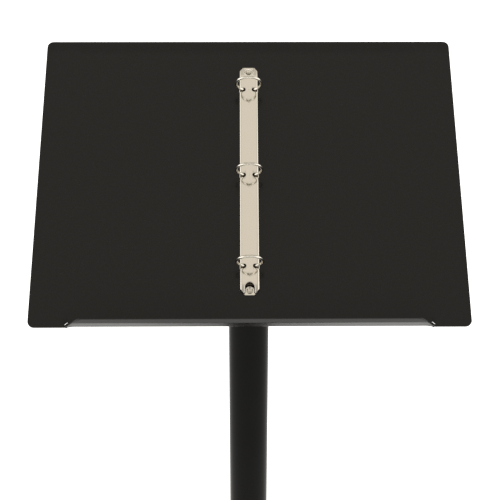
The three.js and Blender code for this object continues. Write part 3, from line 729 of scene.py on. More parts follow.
@dataclass
class Base:
    """Weighted disc on four pads, with the socket and bolt that carry the lower tube."""

    radius: float = 200.0
    thickness: float = 8.0
    foot_height: float = 5.0
    foot_radius: float = 16.0
    foot_circle: float = 165.0
    tube_radius: float = 27.0
    wall: float = 1.5

    @property
    def plate_bottom(self) -> float:
        """Height of the disc's underside."""
        return self.foot_height + CLEAR

    @property
    def socket_bottom(self) -> float:
        """Height of the socket's underside."""
        return self.plate_bottom + self.thickness + CLEAR

    def plate(self) -> None:
        """Disc with a soft upper edge and a recess for the bolt's head."""
        low, high = self.plate_bottom, self.plate_bottom + self.thickness
        corners = [
            (6.5, low + 4, 0.2), (16, low + 4, 0.3), (16, low, 0.5), (self.radius, low, 0.8),
            (self.radius, high, 2.8), (6.5, high, 0.3),
        ]
        Piece("base_plate", turned(corners, 192)).publish(Body.BASE, POWDER_COAT)

    def feet(self) -> None:
        """Four pads with a tapered side and a shallow ring in the sole."""
        radius, height = self.foot_radius, self.foot_height
        corners = [
            (0, 0.6, 0), (radius - 6, 0.6, 0.2), (radius - 5.2, 0, 0.2), (radius, 0, 0.6),
            (radius, 1.2, 0.3), (radius - 2, height, 0.7), (0, height, 0),
        ]
        pad = turned(corners, 64, bored=False)
        places = {"front_right": -45, "back_right": 45, "back_left": 135, "front_left": -135}
        for name, angle in places.items():
            across = self.foot_circle * math.cos(math.radians(angle))
            back = self.foot_circle * math.sin(math.radians(angle))
            piece = Piece(f"foot_{name}", pad.shifted(across, back))
            piece.publish(Body.BASE, RUBBER)

    def socket(self) -> None:
        """Turned flange and spigot, with a soft weld-like corner between them."""
        low = self.socket_bottom
        spigot = self.tube_radius - self.wall - CLEAR
        corners = [
            (6.3, low + 40, 0), (6.3, low, 0.3), (50, low, 0.5), (50, low + 6, 1.8),
            (spigot, low + 6, 0), (spigot, low + 48, 1.5), (0, low + 48, 0),
        ]
        line = rounded(corners, closed=False)
        skin = revolved(line[:, 0], line[:, 1], 96, bored=False)
        Piece("tube_socket", skin).publish(Body.BASE, POWDER_COAT)

    def fixing(self) -> None:
        """Hexagon bolt and washer under the disc."""
        top = self.socket_bottom + 36
        skin = hexagon_head(18, 1.6, 7.6).joined(threaded(6, 7.5, top, 1.75))
        Piece("base_bolt", skin).publish(Body.BASE, ZINC)
        washer = turned([(6.4, 7.9, 0.15), (12, 7.9, 0.3), (12, 9.0, 0.3), (6.4, 9.0, 0.15)])
        Piece("base_washer", washer).publish(Body.BASE, ZINC)

    def build(self) -> None:
        """Builds every piece of the base."""
        self.plate()
        self.feet()
        self.socket()
        self.fixing()


@dataclass
class Column:
    """Telescoping column: lower tube, bush, collar and clamp, and the upper tube with its guide."""

    upper_radius: float = 24.15
    lower_radius: float = 27.0
    wall: float = 1.5
    lower_top: float = 600.0
    upper_top: float = 1009.0
    upper_length: float = 709.0
    clamp_drop: float = 22.0
    stem_radius: float = 4.0
    lower_bottom: float = 19.9

    @property
    def clamp_height(self) -> float:
        """Height of the clamp's screw."""
        return self.lower_top - self.clamp_drop

    @property
    def boss_end(self) -> float:
        """How far back the collar's boss reaches from the axis."""
        return self.lower_radius + CLEAR + 16

    def clamp_place(self) -> Matrix:
        """Frame of the clamp: z runs out of the boss, towards the back."""
        return Matrix.Translation((0, 0, self.clamp_height)) @ Matrix.Rotation(-math.pi / 2, 4, "X")

    def stem_hole(self) -> Skin:
        """Round cutter along the clamp's screw, through the front of what it meets only at the back."""
        hole = turned([(0, 10, 0), (4.3, 10, 0), (4.3, 70, 0), (0, 70, 0)], 48, bored=False)
        return hole.moved(self.clamp_place())

    def lower_pieces(self) -> None:
        """Lower tube, the bush in its top, and the clamp's collar with its boss."""
        outer, inner = self.lower_radius, self.lower_radius - self.wall
        tube = turned([
            (inner, self.lower_bottom, 0.2), (outer, self.lower_bottom, 0.4),
            (outer, self.lower_top, 0.4), (inner, self.lower_top, 0.2),
        ], 128)
        piece = Piece("lower_tube", tube)
        piece.cut(self.stem_hole())
        piece.publish(Body.BASE, COLUMN_COAT)
        flange = self.lower_top + CLEAR
        bore, sleeve = self.upper_radius + CLEAR, inner - CLEAR
        bush = turned([
            (bore, self.lower_top - 60, 0.3), (sleeve, self.lower_top - 60, 0.3), (sleeve, flange, 0),
            (outer, flange, 0.3), (outer, flange + 3, 1.1), (bore, flange + 3, 0.4),
        ], 128)
        piece = Piece("tube_bush", bush)
        piece.cut(self.stem_hole())
        piece.publish(Body.BASE, BLACK_PLASTIC)
        self.collar()

    def collar(self) -> None:
        """Ring round the lower tube whose boss blends into it."""
        middle, inner = self.clamp_height, self.lower_radius + CLEAR
        outer = inner + 5
        ring = turned([
            (inner, middle - 18, 0.4), (outer, middle - 18, 1.6),
            (outer, middle + 18, 1.6), (inner, middle + 18, 0.4),
        ], 128, steps=7)
        boss = turned([
            (0, inner + 2, 0), (14.5, inner + 2, 0), (11, inner + 9, 4), (11, self.boss_end, 1.2),
            (0, self.boss_end, 0),
        ], 80, bored=False, steps=8).moved(self.clamp_place())
        piece = Piece("height_collar", ring)
        piece.weld(boss)
        piece.cut(self.stem_hole())
        piece.soften(0.5, 3, 35)
        piece.publish(Body.BASE, CAST_PAINT)

    def clamp(self) -> None:
        """Hand grip and its screw at the back of the collar."""
        place = self.clamp_place()
        seat = self.boss_end + 2
        grip = lobed_grip(self.stem_radius + CLEAR).shifted(z=seat)
        Piece("height_knob", grip).publish(Body.HEIGHT_KNOB, BLACK_PLASTIC, place=place)
        stem = threaded(self.stem_radius, self.upper_radius + CLEAR, seat + 13, 1.25)
        Piece("height_knob_stem", stem).publish(Body.HEIGHT_KNOB, ZINC, place=place)

    def upper_pieces(self) -> None:
        """Upper tube and the guide on its foot."""
        outer, inner = self.upper_radius, self.upper_radius - self.wall
        bottom = self.upper_top - self.upper_length
        tube = turned([
            (inner, bottom, 0.2), (outer, bottom, 0.4), (outer, self.upper_top, 0.4),
            (inner, self.upper_top, 0.2),
        ], 160)
        Piece("upper_tube", tube).publish(Body.UPPER_COLUMN, COLUMN_COAT)
        skirt, plug = self.lower_radius - self.wall - CLEAR, inner - CLEAR
        guide = turned([
            (plug - 3, bottom - 12, 0.5), (skirt, bottom - 12, 1), (skirt, bottom - CLEAR, 0.2),
            (plug, bottom - CLEAR, 0), (plug, bottom + 25, 0.8), (plug - 3, bottom + 25, 0.3),
        ], 96)
        Piece("glide_ring", guide).publish(Body.UPPER_COLUMN, BLACK_PLASTIC)

    def build(self) -> None:
        """Builds every piece of the column."""
        self.lower_pieces()
        self.clamp()
        self.upper_pieces()


# ------------------------------------------------------------------ tilt head


@dataclass
class TiltHead:
    """Knuckle on the column's top, the desk's back bracket, and the screw, washers and knob between."""

    pivot_height: float = 1054.0
    pivot_depth: float = 50.0
    tube_top: float = 1009.0
    tube_radius: float = 24.15
    plug_radius: float = 22.35
    ear_inside: float = 19.0
    sheet: float = 3.0
    half_width: float = 46.0
    half_height: float = 60.0
    stud_x: float = 36.0
    stud_v: float = 45.0
    bolt_radius: float = 4.0
    panel_sheet: float = 1.5

    def axis_place(self) -> Matrix:
        """Frame of the tilt axis: z runs to the right along it."""
        return Matrix.Translation((0, 0, self.pivot_height)) @ Matrix.Rotation(math.pi / 2, 4, "Y")

    def bore(self, radius: float, half: float = 70.0) -> Skin:
        """Round cutter along z."""
        return turned([(0, -half, 0), (radius, -half, 0), (radius, half, 0), (0, half, 0)], 48, bored=False)

    def knuckle(self) -> None:
        """Turned plug and cap with a round-topped tongue, bored for the tilt screw."""
        cap, top = self.tube_top + CLEAR, self.tube_top + CLEAR + 6
        plug = turned([
            (0, self.tube_top - 45, 0), (self.plug_radius, self.tube_top - 45, 1.2),
            (self.plug_radius, cap, 0), (self.tube_radius, cap, 0.3), (self.tube_radius, top, 2),
            (0, top, 0),
        ], 128, bored=False)
        half, foot = 16.0, top - 1 - self.pivot_height
        nearly = half - 0.01
        corners = [(-half, foot, 0), (half, foot, 0), (half, half, nearly), (-half, half, nearly)]
        outline = rounded(corners, steps=24)
        depth = self.ear_inside - 1.6 - 2 * CLEAR
        tongue = prism(outline, -depth, depth, 0.8)
        turn = Matrix(((0, 0, 1, 0), (1, 0, 0, 0), (0, 1, 0, self.pivot_height), (0, 0, 0, 1)))
        piece = Piece("column_head", plug)
        piece.weld(tongue.moved(turn))
        piece.cut(self.bore(self.bolt_radius + CLEAR).moved(self.axis_place()))
        piece.soften(0.4, 2, 45)
        piece.publish(Body.UPPER_COLUMN, CAST_PAINT)

    def bracket(self, desk: Matrix, centre: float) -> None:
        """Folded sheet bracket: rounded back plate and two tapering ears with round ends."""
        face = -self.panel_sheet - CLEAR
        wide, high = self.half_width, self.half_height
        corners = [(-wide, -high, 8), (wide, -high, 8), (wide, high, 8), (-wide, high, 8)]
        back = prism(rounded(corners), face - self.sheet, face, 0.4).shifted(y=centre)
        depth, end = self.pivot_depth, 17.0
        outline = rounded([
            (40, face - 1, 0), (-40, face - 1, 0), (-end - 2, -depth + 6, 14), (-end, -depth - end, 12),
            (end, -depth - end, 12), (end + 2, -depth + 6, 14),
        ], steps=12)[::-1]
        upright = Matrix(((0, 0, 1, 0), (1, 0, 0, 0), (0, 1, 0, 0), (0, 0, 0, 1)))
        ears = []
        for start in (self.ear_inside, -self.ear_inside - self.sheet):
            ear = prism(outline[::-1], start, start + self.sheet, 0.4).moved(upright)
            ears.append(ear.shifted(y=centre))
        along = Matrix.Translation((0, centre, -depth)) @ Matrix.Rotation(math.pi / 2, 4, "Y")
        piece = Piece("desk_bracket", back)
        piece.weld(*ears)
        piece.cut(self.bore(self.bolt_radius + CLEAR).moved(along))
        for x in (-self.stud_x, self.stud_x):
            for v in (-self.stud_v, self.stud_v):
                piece.cut(self.bore(2.8, 12).shifted(x, centre + v))
        piece.soften(0.35, 2, 50)
        piece.publish(Body.DESK, POWDER_COAT, place=desk)

    def nuts(self, desk: Matrix, centre: float) -> None:
        """Four nuts on the studs behind the bracket."""
        seat = -self.panel_sheet - self.sheet - 2 * CLEAR
        places = {
            "lower_left": (-1, -1), "lower_right": (1, -1), "upper_left": (-1, 1), "upper_right": (1, 1),
        }
        for name, (across, up) in places.items():
            nut = hexagon_head(8, seat - 4, seat, 2.65)
            nut = nut.shifted(across * self.stud_x, centre + up * self.stud_v)
            Piece(f"bracket_nut_{name}", nut).publish(Body.DESK, ZINC, place=desk)

    def clamp(self) -> None:
        """Tilt screw, friction washers, steel washer and hand grip."""
        place = self.axis_place()
        outside = self.ear_inside + self.sheet
        head = hexagon_head(13, -outside - CLEAR - 5.3, -outside - CLEAR)
        shank = turned([
            (0, -outside - 1, 0), (self.bolt_radius, -outside - 1, 0), (self.bolt_radius, outside - 2, 0.3),
            (0, outside - 2, 0),
        ], 48, bored=False)
        screw = threaded(self.bolt_radius, outside - 2.2, outside + 17, 1.25, 48)
        Piece("tilt_bolt", head.joined(shank, screw)).publish(Body.DESK, ZINC, place=place)
        hole = self.bolt_radius + CLEAR
        starts = {"left": -self.ear_inside + CLEAR, "right": self.ear_inside - CLEAR - 1.6}
        for name, low in starts.items():
            high = low + 1.6
            washer = turned([(hole, low, 0.2), (14, low, 0.3), (14, high, 0.3), (hole, high, 0.2)], 72)
            Piece(f"friction_washer_{name}", washer).publish(Body.DESK, NYLON, place=place)
        low = outside + CLEAR
        washer = turned([(hole, low, 0.2), (10, low, 0.4), (10, low + 1.6, 0.4), (hole, low + 1.6, 0.2)], 72)
        Piece("knob_washer", washer).publish(Body.DESK, ZINC, place=place)
        grip = lobed_grip(hole).shifted(z=low + 1.6 + CLEAR)
        Piece("tilt_knob", grip).publish(Body.TILT_KNOB, BLACK_PLASTIC, place=place)

    def build(self, desk: Matrix, centre: float) -> None:
        """Builds the head, bracket and clamp."""
        self.knuckle()
        self.bracket(desk, centre)
        self.nuts(desk, centre)
        self.clamp()


# ------------------------------------------------------------------ desk


@dataclass
class Desk:
    """Folded sheet desk: x across, y up the slope from its bottom edge, z off its front."""

    width: float = 466.0
    height: float = 350.0
    sheet: float = 1.5
    corner: float = 7.0
    slope: float = 40.0
    pivot_height: float = 1054.0
    pivot_depth: float = 50.0
    lip_width: float = 387.0
    lip_inside: float = 1.5
    lip_shelf: float = 10.9
    lip_bend: float = 14.0
    lip_return: float = 7.1
    lip_corner: float = 19.5
    tangent: float = 3.2
    lip_fade: float = 3.5
    lip_power: float = 1.5
    droop: float = 0.9
    droop_start: float = 10.0
    droop_run: float = 9.0
    relief_half_length: float = 2.1
    relief_half_width: float = 0.44
    relief_inset: float = 1.0
    relief_height: float = 4.2
    relief_turn: float = 40.0

    def place(self) -> Matrix:
        """The desk's frame, which turns about x by the slope and holds the tilt axis behind its middle."""
        turn = Matrix.Rotation(math.radians(self.slope), 4, "X")
        middle = Vector((0, self.height / 2, -self.pivot_depth))
        return Matrix.Translation(Vector((0, 0, self.pivot_height)) - turn @ middle) @ turn

    @property
    def lip_length(self) -> float:
        """Length of sheet from the first bend's start to the lip's free edge, along its inside."""
        return self.lip_inside * math.radians(90 + self.lip_bend) + self.lip_shelf + self.lip_return

    def folded(self, depth: Array, turned_up: Array) -> tuple[Array, Array]:
        """Fall and rise of the sheet at a depth below the first bend's start.

        The sheet's direction turns evenly through 90 degrees over the first bend's length, stays
        for the shelf, turns by the second bend, and stays again. All its turns are scaled by
        turned_up, which fades out at the lip's ends. The sheet falls by the running sum of the
        turn's cosine and rises off the desk by that of its sine.

        Args:
            depth: distance along the sheet, zero or more.
            turned_up: share of the turns at each point, 0 to 1.

        Returns:
            How far each point lies down the slope, and how far in front of the desk.
        """
        first = self.lip_inside * math.pi / 2
        second = self.lip_inside * math.radians(self.lip_bend)
        stops = np.cumsum([0, first, self.lip_shelf, second, self.lip_return])
        turns = np.radians([0, 90, 90, 90 + self.lip_bend, 90 + self.lip_bend])
        along = depth[..., None] * np.linspace(0, 1, 240)
        turn = np.interp(along, stops, turns) * turned_up[..., None]
        step = np.diff(along, axis=-1)
        middle = (turn[..., 1:] + turn[..., :-1]) / 2
        return (np.cos(middle) * step).sum(axis=-1), (np.sin(middle) * step).sum(axis=-1)

    def columns(self) -> Array:
        """Column places across the desk, closer together near its corners and the lip's ends."""
        start, end = self.lip_width / 2 - self.lip_corner, self.lip_width / 2
        half = np.concatenate([
            np.linspace(0, start, 15), np.linspace(start, end - 3, 22)[1:], np.linspace(end - 3, end, 19)[1:],
            np.linspace(end, self.width / 2 - self.corner, 8)[1:],
            self.width / 2 - self.corner + self.corner * np.sin(np.linspace(0, np.pi / 2, 11))[1:],
        ])
        return np.concatenate([-half[:0:-1], half])

    def edge_drop(self, x: Array) -> Array:
        """How far an edge of the desk lies inside its full height at x, along the round corners."""
        past = np.clip(np.abs(x) - self.width / 2 + self.corner, 0, self.corner)
        return self.corner - np.sqrt(self.corner**2 - past**2)

    def bend_line(self, x: Array) -> Array:
        """Height of the first bend's start, which droops a little towards the lip's ends."""
        share = np.clip((np.abs(x) - self.lip_width / 2 + self.droop_start) / self.droop_run, 0, 1)
        return self.tangent - self.droop * share * share * (3 - 2 * share)

    def lip_share(self, x: Array) -> Array:
        """How much of the lip there is at x: 1 less a power of the way through its end corner."""
        past = np.clip((np.abs(x) - self.lip_width / 2 + self.lip_corner) / self.lip_corner, 0, 1)
        return 1 - past**self.lip_power

    def lip_reach(self, x: Array) -> Array:
        """Length of sheet below the first bend's start at x, down to the flat corner's at the ends."""
        flat = self.bend_line(x)
        return flat + (self.lip_length - flat) * self.lip_share(x)

    def turn_share(self, x: Array) -> Array:
        """Share of the turns: 1 along the lip, a smooth step to 0 over its last stretch of sheet."""
        share = np.clip(self.lip_share(x) * self.lip_length / self.lip_fade, 0, 1)
        return share * share * (3 - 2 * share)

    def front(self) -> Skin:
        """Front surface of the sheet from its top edge to the free edge below.

        Above the bend it is flat. Below, each column of points follows the folded line at its own
        reach and share of the turns, shifted up by the edge's drop at the round corners. Where a
        half-turned column would hang below the flat edge, its bend starts that much higher.
        """
        columns = self.columns()
        drop = self.edge_drop(columns)
        first = self.lip_inside * math.pi / 2 / self.lip_length
        second = first + self.lip_shelf / self.lip_length
        third = second + self.lip_inside * math.radians(self.lip_bend) / self.lip_length
        below = np.unique(np.concatenate([
            np.linspace(0, first, 11), np.linspace(first, second, 6), np.linspace(second, third, 5),
            np.linspace(third, 1, 5),
        ]))[1:, None]
        depth = below * self.lip_reach(columns)
        fall, rise = self.folded(depth, np.broadcast_to(self.turn_share(columns), depth.shape))
        bend = np.maximum(self.bend_line(columns), fall.max(axis=0))
        shares = np.concatenate([np.linspace(0, 0.9, 13), np.linspace(0.9, 1, 4)[1:]])[:, None]
        start = self.height - drop
        upper = start + (bend + drop - start) * shares
        y = np.concatenate([upper, bend + drop - fall])
        z = np.concatenate([np.zeros_like(upper), rise])
        x = np.broadcast_to(columns, y.shape)
        return grid_skin(np.stack([x, y, z], axis=-1)[::-1])

    def relief(self, side: Side) -> Skin:
        """Narrow slanting slot through the sheet where the lip's end starts to curl."""
        length, width, turn = self.relief_half_length, self.relief_half_width, 0.43
        outline = rounded([
            (-length, -width, turn), (length, -width, turn), (length, width, turn), (-length, width, turn),
        ])
        slot = prism(outline, -6, 8, 0.001)
        angle = math.radians(-self.relief_turn * side.value)
        across = side.value * (self.lip_width / 2 - self.relief_inset)
        place = Matrix.Translation((across, self.relief_height, 0))
        return slot.moved(place @ Matrix.Rotation(angle, 4, "Z"))

    def studs(self, head: TiltHead) -> list[Skin]:
        """Threaded weld studs on the back for the bracket."""
        low, high = -self.sheet - 12, -self.sheet + 0.5
        stud = threaded(2.5, low, high, 0.8)
        return [
            stud.shifted(x, self.height / 2 + v)
            for x in (-head.stud_x, head.stud_x) for v in (-head.stud_v, head.stud_v)
        ]

    def build(self, head: TiltHead) -> None:
        """Builds the folded sheet, gives it its thickness and soft edges, and adds the studs."""
        piece = Piece("desk_panel", self.front(), closed=False)
        piece.thicken(self.sheet)
        piece.cut(*(self.relief(side) for side in Side))
        piece.soften(0.4, 3, 60)
        piece.add(*self.studs(head))
        piece.publish(Body.DESK, POWDER_COAT, place=self.place())


# ------------------------------------------------------------------ ring mechanism


@dataclass
class RingMechanism:
    """Arched cover with three split rings, on the middle of the desk: z = 0 at its underside."""

    spacing: float = 107.95
    ring_radius: float = 14.1
    wire: float = 1.4
    ring_centre: float = 18.7
    length: float = 279.0
    half_width: float = 10.5
    height: float = 6.3
    sheet: float = 0.8
    crown_lean: float = 0.105
    crown_ridge: float = 1.2
    crown_bow: float = 0.0079
    end_run: float = 15.0
    end_share: float = 0.62
    shoulder: float = 2.5
    chamfer: float = 5.6
    rivet_inset: float = 5.3
    centre: float = 174.5
    blade_inside: float = 0.2
    blade_outside: float = 8.9
    blade_bottom: float = 0.9
    blade_inset: float = 11.3
    wire_foot: float = 6.3

    def place(self, desk: Matrix) -> Matrix:
        """The mechanism's frame on the desk."""
        return desk @ Matrix.Translation((0, self.centre, CLEAR))

    def crown(self, x: Array, from_end: Array) -> Array:
        """Height of the cover's outer surface at x and a distance from its end.

        A softly ridged roof that falls by lean times (sqrt(x^2 + ridge^2) - ridge) and by bow
        times x^2, lowered by a quarter sine over the last stretch before each end.
        """
        ease = np.sin(np.clip(from_end / self.end_run, 0, 1) * np.pi / 2)
        roof = self.crown_lean * (np.sqrt(x**2 + self.crown_ridge**2) - self.crown_ridge)
        low = self.end_share
        return self.height * (low + (1 - low) * ease) - roof - self.crown_bow * x**2

    def arch(self, inset: float, from_end: float) -> Array:
        """Cross-section of the cover: straight sides, round shoulders and a low ridged crown."""
        half = self.half_width - inset
        lean = half - self.shoulder * 0.9
        top = self.crown(np.array([half]), np.array(from_end))[0] - inset
        x = np.linspace(lean, -lean, 31)
        middle = [(a, b, 0) for a, b in zip(x, self.crown(x, np.array(from_end)) - inset)]
        turn = self.shoulder - inset
        return rounded([(half, 0, 0), (half, top, turn), *middle, (-half, top, turn), (-half, 0, 0)], steps=8)

    def shell(self) -> Skin:
        """The pressed cover before its openings: the arch carried along, lower towards both ends."""
        near = np.concatenate([np.linspace(0, 15, 16), np.linspace(15, self.length / 2, 14)[1:]])
        stations = np.concatenate([near, self.length - near[-2::-1]])
        from_end = np.minimum(stations, self.length - stations)
        line = np.stack([
            np.concatenate([self.arch(0, end), self.arch(self.sheet, end)[::-1]]) for end in from_end
        ])
        y = np.broadcast_to((stations - self.length / 2)[:, None], line.shape[:2])
        points = np.stack([line[..., 0], y, line[..., 1]], axis=-1)
        skin = grid_skin(points, wrap_columns=True)
        count = line.shape[1]
        last = (len(stations) - 1) * count
        ends = [np.arange(count)[None, ::-1], last + np.arange(count)[None]]
        return Skin(skin.points, [*skin.faces, *ends])

    def end_place(self, end: int) -> Matrix:
        """Frame of one end: y = 0 at its edge and y negative towards the middle."""
        turn = Matrix.Rotation(0 if end > 0 else math.pi, 4, "Z")
        return turn @ Matrix.Translation((0, self.length / 2, 0))

    def chamfer_cutters(self) -> list[Skin]:
        """Two wedges that take off the corners of an end."""
        x = self.half_width
        inner = x - self.chamfer
        wedge = np.array([(inner, 0.0), (x + 0.5, -7.4), (x + 3, -7.4), (x + 3, 2), (inner, 2)])
        mirror = wedge[::-1] * np.array([-1, 1])
        return [prism(outline, -3, 12, 0.001) for outline in (wedge, mirror)]

    def mouth_line(self) -> Array:
        """Edge of the arched opening in an end's crown: straight sides and a low pointed arch."""
        share = np.linspace(0, 1, 25)[:, None]
        start, pull = np.array([5.6, -8.0]), np.array([5.3, -11.5])
        level, peak = np.array([1.7, -13.4]), np.array([0.0, -13.4])
        blend = ((1 - share) ** 3 * start + 3 * (1 - share) ** 2 * share * pull
                 + 3 * (1 - share) * share**2 * level + share**3 * peak)
        right = np.concatenate([[[6.2, -1.6]], [[5.7, -3.6]], blend])
        return np.concatenate([right, right[-2::-1] * np.array([-1, 1])])

    def mouth(self) -> Skin:
        """Cutter of the opening."""
        outline = np.concatenate([[[7.2, 2.0]], self.mouth_line(), [[-7.2, 2.0]]])[::-1]
        return prism(outline, -3, 12, 0.001)

    def mouth_bead(self) -> Skin:
        """Rolled rim round the opening: a thin round bead on the crown along its edge."""
        line = self.mouth_line()
        z = self.crown(line[:, 0], -line[:, 1]) - 0.22
        path = np.column_stack([line, z])
        return swept(path, np.full(len(path), 0.5), np.array([0.0, 0.0, 1.0]), 16)

    def tongue(self) -> Skin:
        """Flat tab with the rivet, and the rim that ties it to the cover along the chamfers."""
        shoulder, rim, half = self.half_width - 0.2, 1.8, 4.9
        right = [
            (self.half_width - self.chamfer, 0, 0.4), (shoulder, -6.6, 0),
            (shoulder - rim / 2, -6.6 - rim, 0),
            (half + 1.6, -2.4, 0.5), (half, -2.4, 0.5), (half, -self.rivet_inset - half, 4.8),
        ]
        left = [(-x, y, radius) for x, y, radius in right[::-1]]
        outline = rounded([*right, *left], steps=10)[::-1]
        return prism(outline, 0, self.sheet, 0.12)

    def slot(self, side: Side) -> Skin:
        """Opening for one wire, round towards the middle and open at the cover's side."""
        outline = rounded([(3.5, -2.6, 2.59), (12, -2.6, 0), (12, 2.6, 0), (3.5, 2.6, 2.59)], steps=10)
        slot = prism(outline, 2.2, 10, 0.001)
        return slot if side is Side.RIGHT else slot.moved(Matrix.Rotation(math.pi, 4, "Z"))

    def ring_places(self) -> dict[str, float]:
        """Name and place of each ring along the cover."""
        return {"top": self.spacing, "middle": 0.0, "bottom": -self.spacing}

    def cover(self, place: Matrix) -> None:
        """The cover with its chamfered ends, mouths, tongues, wire slots and small dimples."""
        piece = Piece("ring_cover", self.shell())
        for end in (1, -1):
            turn = self.end_place(end)
            tools = [*self.chamfer_cutters(), self.mouth()]
            piece.cut(*(tool.moved(turn) for tool in tools))
            piece.weld(self.tongue().moved(turn))
            hole = turned([(0, -3, 0), (1.9, -3, 0), (1.9, 3, 0), (0, 3, 0)], 32, bored=False)
            piece.cut(hole.shifted(y=-self.rivet_inset).moved(turn))
        for y in self.ring_places().values():
            for side in Side:
                piece.cut(self.slot(side).shifted(y=y))
            dimple = turned([(0, 5.9, 0), (0.55, 6.1, 0), (0.9, 6.6, 0), (0, 6.6, 0)], 20, bored=False)
            piece.cut(dimple.shifted(y=y))
        piece.soften(0.16, 2, 48)
        piece.add(*(self.mouth_bead().moved(self.end_place(end)) for end in (1, -1)))
        piece.publish(Body.DESK, NICKEL, place=place, crease=45)

    def rivet(self, name: str, end: int, place: Matrix) -> None:
        """Hollow rivet with a dished rim round a small raised ring, flared behind the desk."""
        back, face = -CLEAR - 1.5 - CLEAR, self.sheet + CLEAR
        corners = [
            (0, back - 0.6, 0), (0.9, back - 0.6, 0.3), (1.4, back - 1.4, 0.3), (2.8, back - 1.2, 0.5),
            (2.8, back, 0.2), (1.6, back, 0), (1.6, face, 0), (3.5, face, 0.15), (3.6, face + 1.0, 0.3),
            (3.15, face + 1.3, 0.3), (2.2, face + 0.25, 0.3), (1.75, face + 0.2, 0.2),
            (1.5, face + 0.55, 0.2), (1.1, face + 0.55, 0.2), (0.75, face + 0.3, 0.2), (0, face + 0.25, 0),
        ]
        rivet = turned(corners, 64, bored=False)
        y = end * (self.length / 2 - self.rivet_inset)
        Piece(f"cover_rivet_{name}", rivet.shifted(y=y)).publish(Body.DESK, NICKEL, place=place)

    def blade(self, side: Side, body: Body, place: Matrix) -> None:
        """Carrier strip under one half of the cover, with rounded corners and edges and a hole for each wire.
        """
        half = self.length / 2 - self.blade_inset
        corners = [
            (self.blade_inside, -half, 0.4), (self.blade_outside, -half, 2), (self.blade_outside, half, 2),
            (self.blade_inside, half, 0.4),
        ]
        strip = prism(rounded(corners), self.blade_bottom, self.blade_bottom + 0.8, 0.2)
        piece = Piece(f"{side.name.lower()}_blade", strip)
        for y in self.ring_places().values():
            hole = turned([(0, 0, 0), (1.7, 0, 0), (1.7, 3, 0), (0, 3, 0)], 32, bored=False)
            piece.cut(hole.shifted(self.wire_foot, y))
        if side is Side.LEFT:
            piece.move(Matrix.Rotation(math.pi, 4, "Z"))
        # The blades take the nickel with painted shade, darker than the cover's, for the shade beneath it.
        piece.publish(body, NICKEL_PAINTED_SHADE_INSIDE, place=place)

    def wire_path(self) -> Array:
        """Centreline of the right half ring in the x-z plane.

        A circle from the tip at the top, clockwise to where it nears the cover, then a smooth bend
        that leaves along the circle's tangent and ends straight down at the foot.
        """
        entry = math.asin((self.ring_centre - 7) / self.ring_radius)
        angle = np.linspace(np.pi / 2 - 0.011, -entry, 90)
        across, up = self.ring_radius * np.cos(angle), self.ring_centre + self.ring_radius * np.sin(angle)
        circle = np.stack([across, up], 1)
        last = circle[-1]
        tangent = np.array([math.sin(-entry), -math.cos(-entry)])
        foot = np.array([self.wire_foot, last[1] - 3.2])
        share = np.linspace(0, 1, 16)[1:, None]
        bend = ((1 - share) ** 3 * last + 3 * (1 - share) ** 2 * share * (last + tangent * 1.1)
                + 3 * (1 - share) * share**2 * (foot + np.array([0, 1.3])) + share**3 * foot)
        drop = np.array([[self.wire_foot, z] for z in (foot[1] - 1, self.blade_bottom - 0.3)])
        return np.concatenate([circle, bend, drop])

    def half_ring(self, name: str, y: float, side: Side, body: Body, place: Matrix) -> None:
        """Half a ring of round wire whose tip is slightly rounded."""
        line = self.wire_path()
        path = np.stack([line[:, 0], np.zeros(len(line)), line[:, 1]], axis=-1)
        radii = np.full(len(path), self.wire)
        radii[:3] = self.wire * np.array([0.86, 0.96, 0.99])
        skin = swept(path, radii, np.array([0.0, 1.0, 0.0]), 32)
        piece = Piece(f"{side.name.lower()}_ring_{name}", skin)
        if side is Side.LEFT:
            piece.move(Matrix.Rotation(math.pi, 4, "Z"))
        piece.move(Matrix.Translation((0, y, 0)))
        piece.publish(body, NICKEL, place=place)

    def build(self, desk: Matrix) -> None:
        """Builds the cover, its rivets, the blades and the rings."""
        place = self.place(desk)
        self.cover(place)
        self.rivet("upper", 1, place)
        self.rivet("lower", -1, place)
        for side, body in ((Side.LEFT, Body.LEFT_RINGS), (Side.RIGHT, Body.RIGHT_RINGS)):
            self.blade(side, body, place)
            for name, y in self.ring_places().items():
                self.half_ring(name, y, side, body, place)


# ------------------------------------------------------------------ studio


